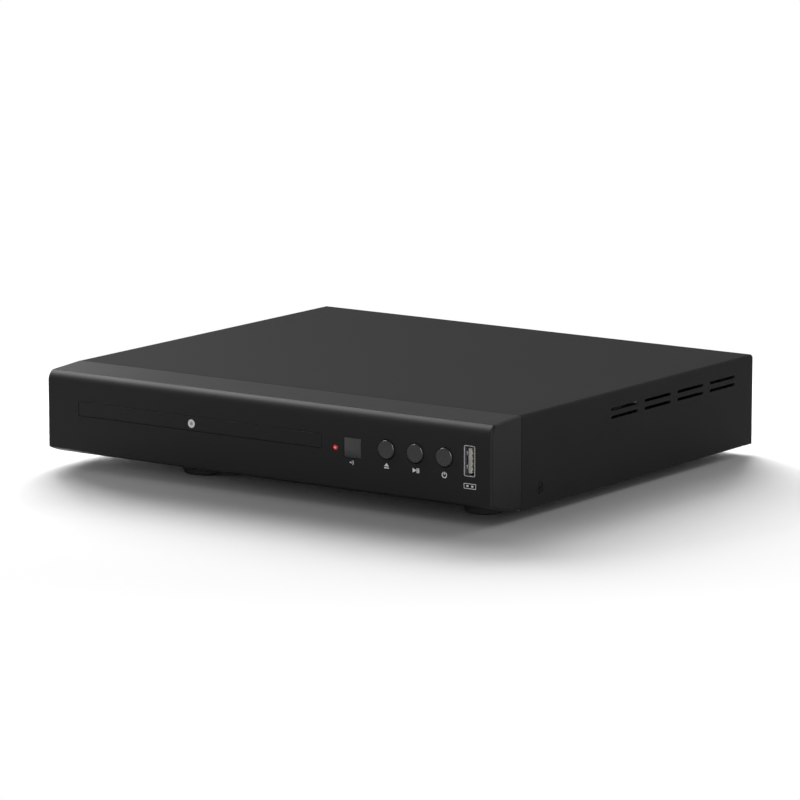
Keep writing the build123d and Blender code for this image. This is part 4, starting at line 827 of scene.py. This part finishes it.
def printPowerMark():
    look = markLook
    x = buttonMiddle("power_button")
    z = look["height"]
    flats = [markRing(x, z, *look["powerRing"], -90, look["powerSpread"])]
    flats.append(markBar(x, z + look["powerBarRise"], *look["powerBar"]))
    printMark(flats, "powerMark", "front_fascia", "cabinet")


def printDiscMark():
    look = markLook
    x, z = look["discPlace"]
    flats = [markRing(x, z, radius, line) for radius, line in look["discRings"]]
    printMark(flats, "discMark", "tray_door", "tray")


def printRemoteMark():
    look = markLook
    x, z = look["wavePlace"]
    line = look["waveLine"]
    flats = [markRing(x, z, look["waveDot"], line)]
    flats += [markRing(x, z, radius, line, 0, look["waveSpread"]) for radius in look["waveRadii"]]
    printMark(flats, "remoteMark", "front_fascia", "cabinet")


# a port's outline, whose uprights stop a seam short of the bars, with two pins in it
def printPortMark():
    look = markLook
    x, z = look["portPlace"]
    width, height = look["portSize"]
    line = look["portLine"]
    upright = height - 2 * line - look["portSeam"]
    flats = [markBar(x, z + side * (height - line) / 2, width, line) for side in (-1, 1)]
    flats += [markBar(x + side * (width - line) / 2, z, line, upright) for side in (-1, 1)]
    flats += [markBar(x + side * look["portPinOffset"], z, *look["portPin"]) for side in (-1, 1)]
    printMark(flats, "portMark", "front_fascia", "cabinet")


printEjectMark()
printPlayMark()
printPowerMark()
printDiscMark()
printRemoteMark()
printPortMark()
print("marks printed")

# USB port: a folded steel shell with spring tabs, a tongue and four sprung contacts
portLook = {
    "wall": 0.35 * mm,
    "corner": 0.7 * mm,
    "rim": 0.1 * mm,
    "tab": (0.28 * mm, 3.6 * mm, 1.9 * mm),
    "tabDepth": 3.6 * mm,
    "tabLean": 4.0,
    "tabEdge": 0.08 * mm,
    "tabOffsets": (-3.0 * mm, 3.0 * mm),
    "tongueX": (107.575 * mm, 109.425 * mm),
    "tongueInset": 0.15 * mm,
    "tongueHeight": 11.0 * mm,
    "tongueEdge": 0.35 * mm,
    "rootDepth": 1.2 * mm,
    "rootEdge": 0.15 * mm,
    "rootOverlap": 0.8 * mm,
    "contactCount": 4,
    "contactPitch": 2.3 * mm,
    "contactWidth": 1.0 * mm,
    "contactTip": 0.4 * mm,
    "contactEdge": 0.06 * mm,
    "contactSteps": (  # across and back
        (0.10 * mm, 0.5 * mm),
        (0.35 * mm, 1.2 * mm),
        (0.20 * mm, 1.6 * mm),
        (-0.45 * mm, 1.8 * mm),
        (-0.20 * mm, 3.4 * mm),
        (0.0, 2.0 * mm),
    ),
}


# a spring tab on the inside of a side wall, turned a little about its front end
def springTab(side, x, y, z):
    look = portLook
    thick, long, wide = look["tab"]
    hinge = y - long / 2
    low = (x - thick, hinge, z - wide / 2)
    high = (x + thick, y + long / 2, z + wide / 2)
    tab = softBlock(low, high, look["tabEdge"], 2)
    editAll(tab)
    lean = math.radians(side * look["tabLean"])
    bpy.ops.transform.rotate(value=lean, orient_axis="Z", center_override=(x, hinge, 0))
    leaveEdit()
    return tab


def makePortShell():
    look = portLook
    low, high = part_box("usb_shell")
    middle = (low + high) / 2
    shell = block(low, high)
    selectEdges(shell, lambda a, b: abs(a.y - b.y) > hair)
    bevelled(shell, look["corner"], 5)
    selectFaces(shell, lambda face: face.normal.y < -facing)
    bpy.ops.mesh.inset(thickness=look["wall"], depth=0)
    extrudeBy(0, high.y - low.y - look["wall"], 0)
    leaveEdit()
    selectEdges(shell, lambda a, b: max(a.y, b.y) < low.y + hair)
    parts = [bevelled(shell, look["rim"], 2)]
    innerHalf = (high.x - low.x) / 2 - look["wall"]
    for side in (-1, 1):
        for offset in look["tabOffsets"]:
            x = middle.x + side * innerHalf
            parts.append(springTab(side, x, low.y + look["tabDepth"], middle.z + offset))
    shell = joined(parts)
    complete(shell, "usbPortShell", portSteel)
    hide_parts("usb_shell")
    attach(shell, "cabinet")


def makePortTongue():
    look = portLook
    low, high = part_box("usb_tongue")
    middle = (low + high) / 2
    left, right = look["tongueX"]
    half = look["tongueHeight"] / 2
    rootFront = high.y - look["rootDepth"]
    root = softBlock((low.x, rootFront, low.z), high, look["rootEdge"], 2)
    front = low.y + look["tongueInset"]
    rear = rootFront + look["rootOverlap"]
    tongue = softBlock((left, front, middle.z - half), (right, rear, middle.z + half), look["tongueEdge"])
    tongue = joined([tongue, root])
    complete(tongue, "usbPortTongue", portPlastic)
    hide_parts("usb_tongue")
    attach(tongue, "cabinet")


# each contact is a thin strip that bows away from the tongue, extruded step by step
def makePortContacts():
    look = portLook
    low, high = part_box("usb_contacts")
    middle = (low + high) / 2
    half = look["contactWidth"] / 2
    strips = []
    for i in range(look["contactCount"]):
        z = middle.z + (i - (look["contactCount"] - 1) / 2) * look["contactPitch"]
        strip = block((low.x, low.y, z - half), (high.x, low.y + look["contactTip"], z + half))
        for lean, length in look["contactSteps"]:
            selectFaces(strip, lambda face: face.normal.y > facing)
            extrudeBy(lean, length, 0)
            leaveEdit()
        selectEdges(strip, lambda a, b: abs(a.y - b.y) > hair)
        strips.append(bevelled(strip, look["contactEdge"], 2))
    contacts = joined(strips)
    complete(contacts, "usbPortContacts", finishes["contact_brass"])
    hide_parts("usb_contacts")
    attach(contacts, "cabinet")


makePortShell()
makePortTongue()
makePortContacts()
print("USB port made")

# Lamp lens: a domed rod with its flange behind the fascia's wall
lensLook = {
    "radius": 1.25 * mm,
    "tipRadius": 0.15 * mm,
    "dome": 0.4 * mm,
    "domeSteps": 9,
    "wall": 2.3 * mm,
    "flangeTaper": 0.98,
    "sides": 48,
}


def makeLampLens():
    look = lensLook
    low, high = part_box("led_lens")
    middle = (low + high) / 2
    flangeRadius = (high.x - low.x) / 2
    face = frontY - low.y
    steps = [
        (frontY - high.y, flangeRadius * look["flangeTaper"]),
        (-look["wall"], flangeRadius),
        (-look["wall"], look["radius"]),
        (face - look["dome"], look["radius"]),
    ]
    steps += roundSteps(steps[-1], (face, look["tipRadius"]), look["domeSteps"])
    lens = turned(steps, look["sides"])
    standAt(lens, (middle.x, frontY, middle.z), (0, -1, 0))
    complete(lens, "indicatorLens", finishes["lamp_red"], 50)
    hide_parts("led_lens")
    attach(lens, "cabinet")


# Receiver window: a square pane with its flange behind the fascia's wall
paneLook = {
    "half": 4.5 * mm,
    "recess": 0.1 * mm,
    "edge": 0.3 * mm,
    "wall": 2.25 * mm,
    "flangeEdge": 0.12 * mm,
    "backInset": 0.2 * mm,
}


def makeReceiverPane():
    look = paneLook
    low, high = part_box("ir_window")
    middle = (low + high) / 2
    half = look["half"]
    pane = softBlock(
        (middle.x - half, frontY + look["recess"], middle.z - half),
        (middle.x + half, high.y - look["backInset"], middle.z + half),
        look["edge"],
    )
    flange = softBlock((low.x, frontY + look["wall"], low.z), high, look["flangeEdge"], 2)
    pane = joined([pane, flange])
    complete(pane, "receiverPane", finishes["window_plastic"])
    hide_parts("ir_window")
    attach(pane, "cabinet")


makeLampLens()
makeReceiverPane()
print("lamp lens and receiver pane made")

# Screws that hold the cover: a head with a cross recess, each kind modelled once and copied
screwLook = {
    "radius": 2.5 * mm,
    "shank": 1.25 * mm,
    "length": 6.0 * mm,
    "point": (0.7 * mm, 0.55),  # its length, and its end as a share of the shank
    "headEdge": (0.1 * mm, 0.97),  # its height, and its start as a share of the radius
    "domeShare": 0.45,
    "domeMost": 0.5 * mm,
    "domeTop": 0.55,
    "domeSteps": 6,
    "sides": 40,
    "sideHead": 0.7 * mm,
    "rearHead": 1.6 * mm,
    "cross": (2.9 * mm, 0.62 * mm),
    "crossDepth": 0.5 * mm,
    "cutterRise": 1 * mm,
    "sidePlaces": (((-119.15, -72.0, 11.7), (-1, 0, 0)), ((119.15, -72.0, 11.7), (1, 0, 0))),
    "rearPlaces": tuple(((x, 101.4, 41.0), (0, 1, 0)) for x in (-106.0, 0.0, 106.0)),
}


def cutAway(piece, cutter):
    modifier = piece.modifiers.new("cut", "BOOLEAN")
    modifier.operation = "DIFFERENCE"
    modifier.solver = "EXACT"
    modifier.object = cutter
    pick(piece)
    bpy.ops.object.modifier_apply(modifier=modifier.name)
    bpy.data.objects.remove(cutter)


def makeScrew(head):
    look = screwLook
    pointLength, pointShare = look["point"]
    edgeHeight, edgeShare = look["headEdge"]
    dome = min(look["domeShare"] * head, look["domeMost"])
    steps = [
        (-look["length"], look["shank"] * pointShare),
        (-look["length"] + pointLength, look["shank"]),
        (0, look["shank"]),
        (0, look["radius"] * edgeShare),
        (edgeHeight, look["radius"]),
        (head - dome, look["radius"]),
    ]
    steps += roundSteps(steps[-1], (head, look["radius"] * look["domeTop"]), look["domeSteps"])
    screw = turned(steps, look["sides"])
    long, wide = look["cross"]
    for x, y in ((long / 2, wide / 2), (wide / 2, long / 2)):
        cutAway(screw, block((-x, -y, head - look["crossDepth"]), (x, y, head + look["cutterRise"])))
    closeMesh(screw)
    return screw


# copies of a piece that stands at the origin along +Z, each with its own mesh, moved to their places
def copiesAt(piece, places):
    copies = []
    for place, outward in places:
        pick(piece)
        bpy.ops.object.duplicate()
        copy = bpy.context.object
        standAt(copy, [value * mm for value in place], outward)
        copies.append(copy)
    bpy.data.objects.remove(piece)
    return copies


def makeCoverScrews():
    look = screwLook
    screws = copiesAt(makeScrew(look["sideHead"]), look["sidePlaces"])
    screws += copiesAt(makeScrew(look["rearHead"]), look["rearPlaces"])
    screws = joined(screws)
    complete(screws, "coverScrews", finishes["black_screw"])
    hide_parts("cover_screws")
    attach(screws, "cabinet")


makeCoverScrews()
print("cover screws made")

# Feet: moulded rubber pads with a ring groove, a sunk middle and a pin that presses into the pan
footLook = {
    "places": ((-55.0, -79.6), (96.6, -79.6), (-96.6, 72.4), (96.6, 72.4)),
    "sunkMiddle": ((1.3, 1.2), (1.3, 2.4), (1.7, 2.7), (1.7, 3.2), (0.3, 3.5), (0.0, 3.9)),
    "groove": ((0.0, 5.2), (0.35, 5.5), (0.35, 5.9), (0.0, 6.2)),
    "rim": ((0.0, 7.4), (0.1, 7.85), (0.38, 8.25), (0.8, 8.45), (1.3, 8.5), (4.0, 8.5)),
    "pin": ((4.0, 2.0), (6.0, 1.9)),
    "sides": 72,
}


def makeFeet():
    look = footLook
    outline = look["sunkMiddle"] + look["groove"] + look["rim"] + look["pin"]
    foot = turned([(height * mm, radius * mm) for height, radius in outline], look["sides"])
    feet = joined(copiesAt(foot, [((x, y, 0), (0, 0, 1)) for x, y in look["places"]]))
    complete(feet, "rubberFeet", finishes["rubber"])
    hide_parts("feet")
    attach(feet, "cabinet")


makeFeet()
print("feet made")

# Camera and light
cameraView = {
    "place": (1295.9 * mm, -1838.4 * mm, 432.28 * mm),
    "azimuth": 35.261,
    "elevation": 10.225,
    "lens": 228.1,
    "sensor": 36,
    "farthest": 20,
}


def placeCamera():
    look = cameraView
    data = bpy.data.cameras.new("photoCamera")
    camera = bpy.data.objects.new("photoCamera", data)
    bpy.context.scene.collection.objects.link(camera)
    camera.location = look["place"]
    camera.rotation_euler = (math.radians(90 - look["elevation"]), 0, math.radians(look["azimuth"]))
    data.sensor_width = look["sensor"]
    data.lens = look["lens"]
    data.clip_end = look["farthest"]
    bpy.context.scene.camera = camera


placeCamera()


# Floor: white paper that keeps the shadow, and that the camera and reflections see fade to the room's white
floorLook = {
    "size": 12,
    "drop": 0.2 * mm,
    "paper": 0.92,
    "seenFade": (0.22, 0.31),  # metres from the middle
    "mirroredFade": (0.14, 0.24),
}


def layFloor():
    look = floorLook
    clearSelection()
    bpy.ops.mesh.primitive_plane_add(size=look["size"], location=(0, 0, -look["drop"]))
    floor = bpy.context.object
    floor.name = "studioFloor"
    paper = Shader("floorPaper")
    surface = paper.add("ShaderNodeBsdfDiffuse", {}, {"Color": grey(look["paper"])})
    white = paper.add("ShaderNodeEmission", {}, {"Color": grey(1.0)})
    away = paper.add("ShaderNodeVectorMath", {"operation": "LENGTH"}, {0: paper.place}, output="Value")
    whiteShare = 0
    for ray, (near, far) in (("Is Camera Ray", look["seenFade"]), ("Is Glossy Ray", look["mirroredFade"])):
        fade = paper.add("ShaderNodeMapRange", {}, {"Value": away, "From Min": near, "From Max": far})
        whiteShare = fade * paper.add("ShaderNodeLightPath", output=ray) + whiteShare
    surface = paper.add("ShaderNodeMixShader", {}, {0: whiteShare, 1: surface, 2: white})
    paper.add("ShaderNodeOutputMaterial", {}, {"Surface": surface})
    floor.data.materials.append(paper.owner)
    return floor


studioFloor = layFloor()

# plain grey light, with white paper seen directly and, in mirrors and glass, a wall that dims with height
roomLook = {
    "light": 0.185,
    "seen": 1.0,
    "wall": [(0.08, grey(1.0)), (0.18, grey(0.7)), (0.35, grey(0.4)), (0.60, grey(0.3))],
}


def lightRoom():
    look = roomLook
    world = bpy.data.worlds.new("studio")
    bpy.context.scene.world = world
    room = Shader("studio", world)
    way = room.add("ShaderNodeTexCoord", output="Generated")
    height = room.add("ShaderNodeSeparateXYZ", {}, {"Vector": way}, output="Z")
    wall = room.add("ShaderNodeValToRGB", {"stops": look["wall"]}, {"Fac": height})
    glossy = room.add("ShaderNodeLightPath", output="Is Glossy Ray")
    through = room.add("ShaderNodeLightPath", output="Is Transmission Ray")
    mirrored = room.add("ShaderNodeMath", {"operation": "MAXIMUM"}, {0: glossy, 1: through})
    direct = room.add("ShaderNodeLightPath", output="Is Camera Ray")
    strength = look["light"] + (wall - look["light"]) * mirrored + (look["seen"] - look["light"]) * direct
    surface = room.add("ShaderNodeBackground", {}, {"Color": grey(1.0), "Strength": strength})
    room.add("ShaderNodeOutputWorld", {}, {"Surface": surface})


lightRoom()

# Lamps: place and size in metres, power in watts; a lamp lights the floor alone, the button caps
# alone, or all but the floor
litPieces = {
    "floor": ([studioFloor], "INCLUDE"),
    "caps": (buttonCaps, "INCLUDE"),
    "allButFloor": ([studioFloor], "EXCLUDE"),
}
lampLooks = {
    "floorWashLow": {"place": (-0.85, 1.15, 0.65), "size": (1.0, 0.5), "power": 32, "lit": "floor"},
    "floorWashLeft": {"place": (-1.30, 0.70, 0.60), "size": (0.6, 0.4), "power": 16, "lit": "floor"},
    "floorWashHigh": {"place": (-0.75, 1.0, 1.05), "size": (1.2, 0.8), "power": 18, "lit": "floor"},
    "floorWashRight": {"place": (0.3, 1.2, 0.9), "size": (0.8, 0.8), "power": 3, "lit": "floor"},
    "floorGlowLeft": {"place": (-0.27, -0.22, 0.05), "size": (0.12, 0.05), "power": 0.16, "lit": "floor"},
    "leftSoftbox": {"place": (-0.95, -0.12, 1.10), "size": (0.8, 0.8), "power": 35.5, "lit": "allButFloor"},
    "rightStrip": {"place": (1.15, -0.75, 0.55), "size": (0.35, 1.0), "power": 11.5, "lit": "allButFloor"},
    "lowFill": {"place": (0.55, -0.80, 0.08), "size": (0.9, 0.08), "power": 1.2, "lit": "allButFloor"},
    "leftCard": {"place": (-0.62, 0.25, 0.26), "size": (0.35, 0.25), "power": 0.7, "lit": "allButFloor"},
    "backSoftbox": {"place": (0.35, 1.4, 1.0), "size": (0.4, 0.4), "power": 5, "lit": "allButFloor"},
    "capGlint": {"place": (0.80, -0.76, 0.70), "size": (0.22, 0.6), "power": 16, "lit": "caps"},
}
lampAim = (0, 0, 0.02)


def placeLamp(name, look):
    data = bpy.data.lights.new(name, "AREA")
    data.shape = "RECTANGLE"
    data.size, data.size_y = look["size"]
    data.energy = look["power"]
    lamp = bpy.data.objects.new(name, data)
    bpy.context.scene.collection.objects.link(lamp)
    lamp.location = look["place"]
    lamp.rotation_euler = (Vector(lampAim) - Vector(look["place"])).to_track_quat("-Z", "Y").to_euler()
    lamp.visible_camera = False
    linked = bpy.data.collections.new(name + "Linked")
    pieces, state = litPieces[look["lit"]]
    for piece in pieces:
        linked.objects.link(piece)
        linked.collection_objects[-1].light_linking.link_state = state
    lamp.light_linking.receiver_collection = linked


for name, look in lampLooks.items():
    placeLamp(name, look)
bpy.context.scene.view_settings.view_transform = "Standard"
print("camera, floor and lamps placed")
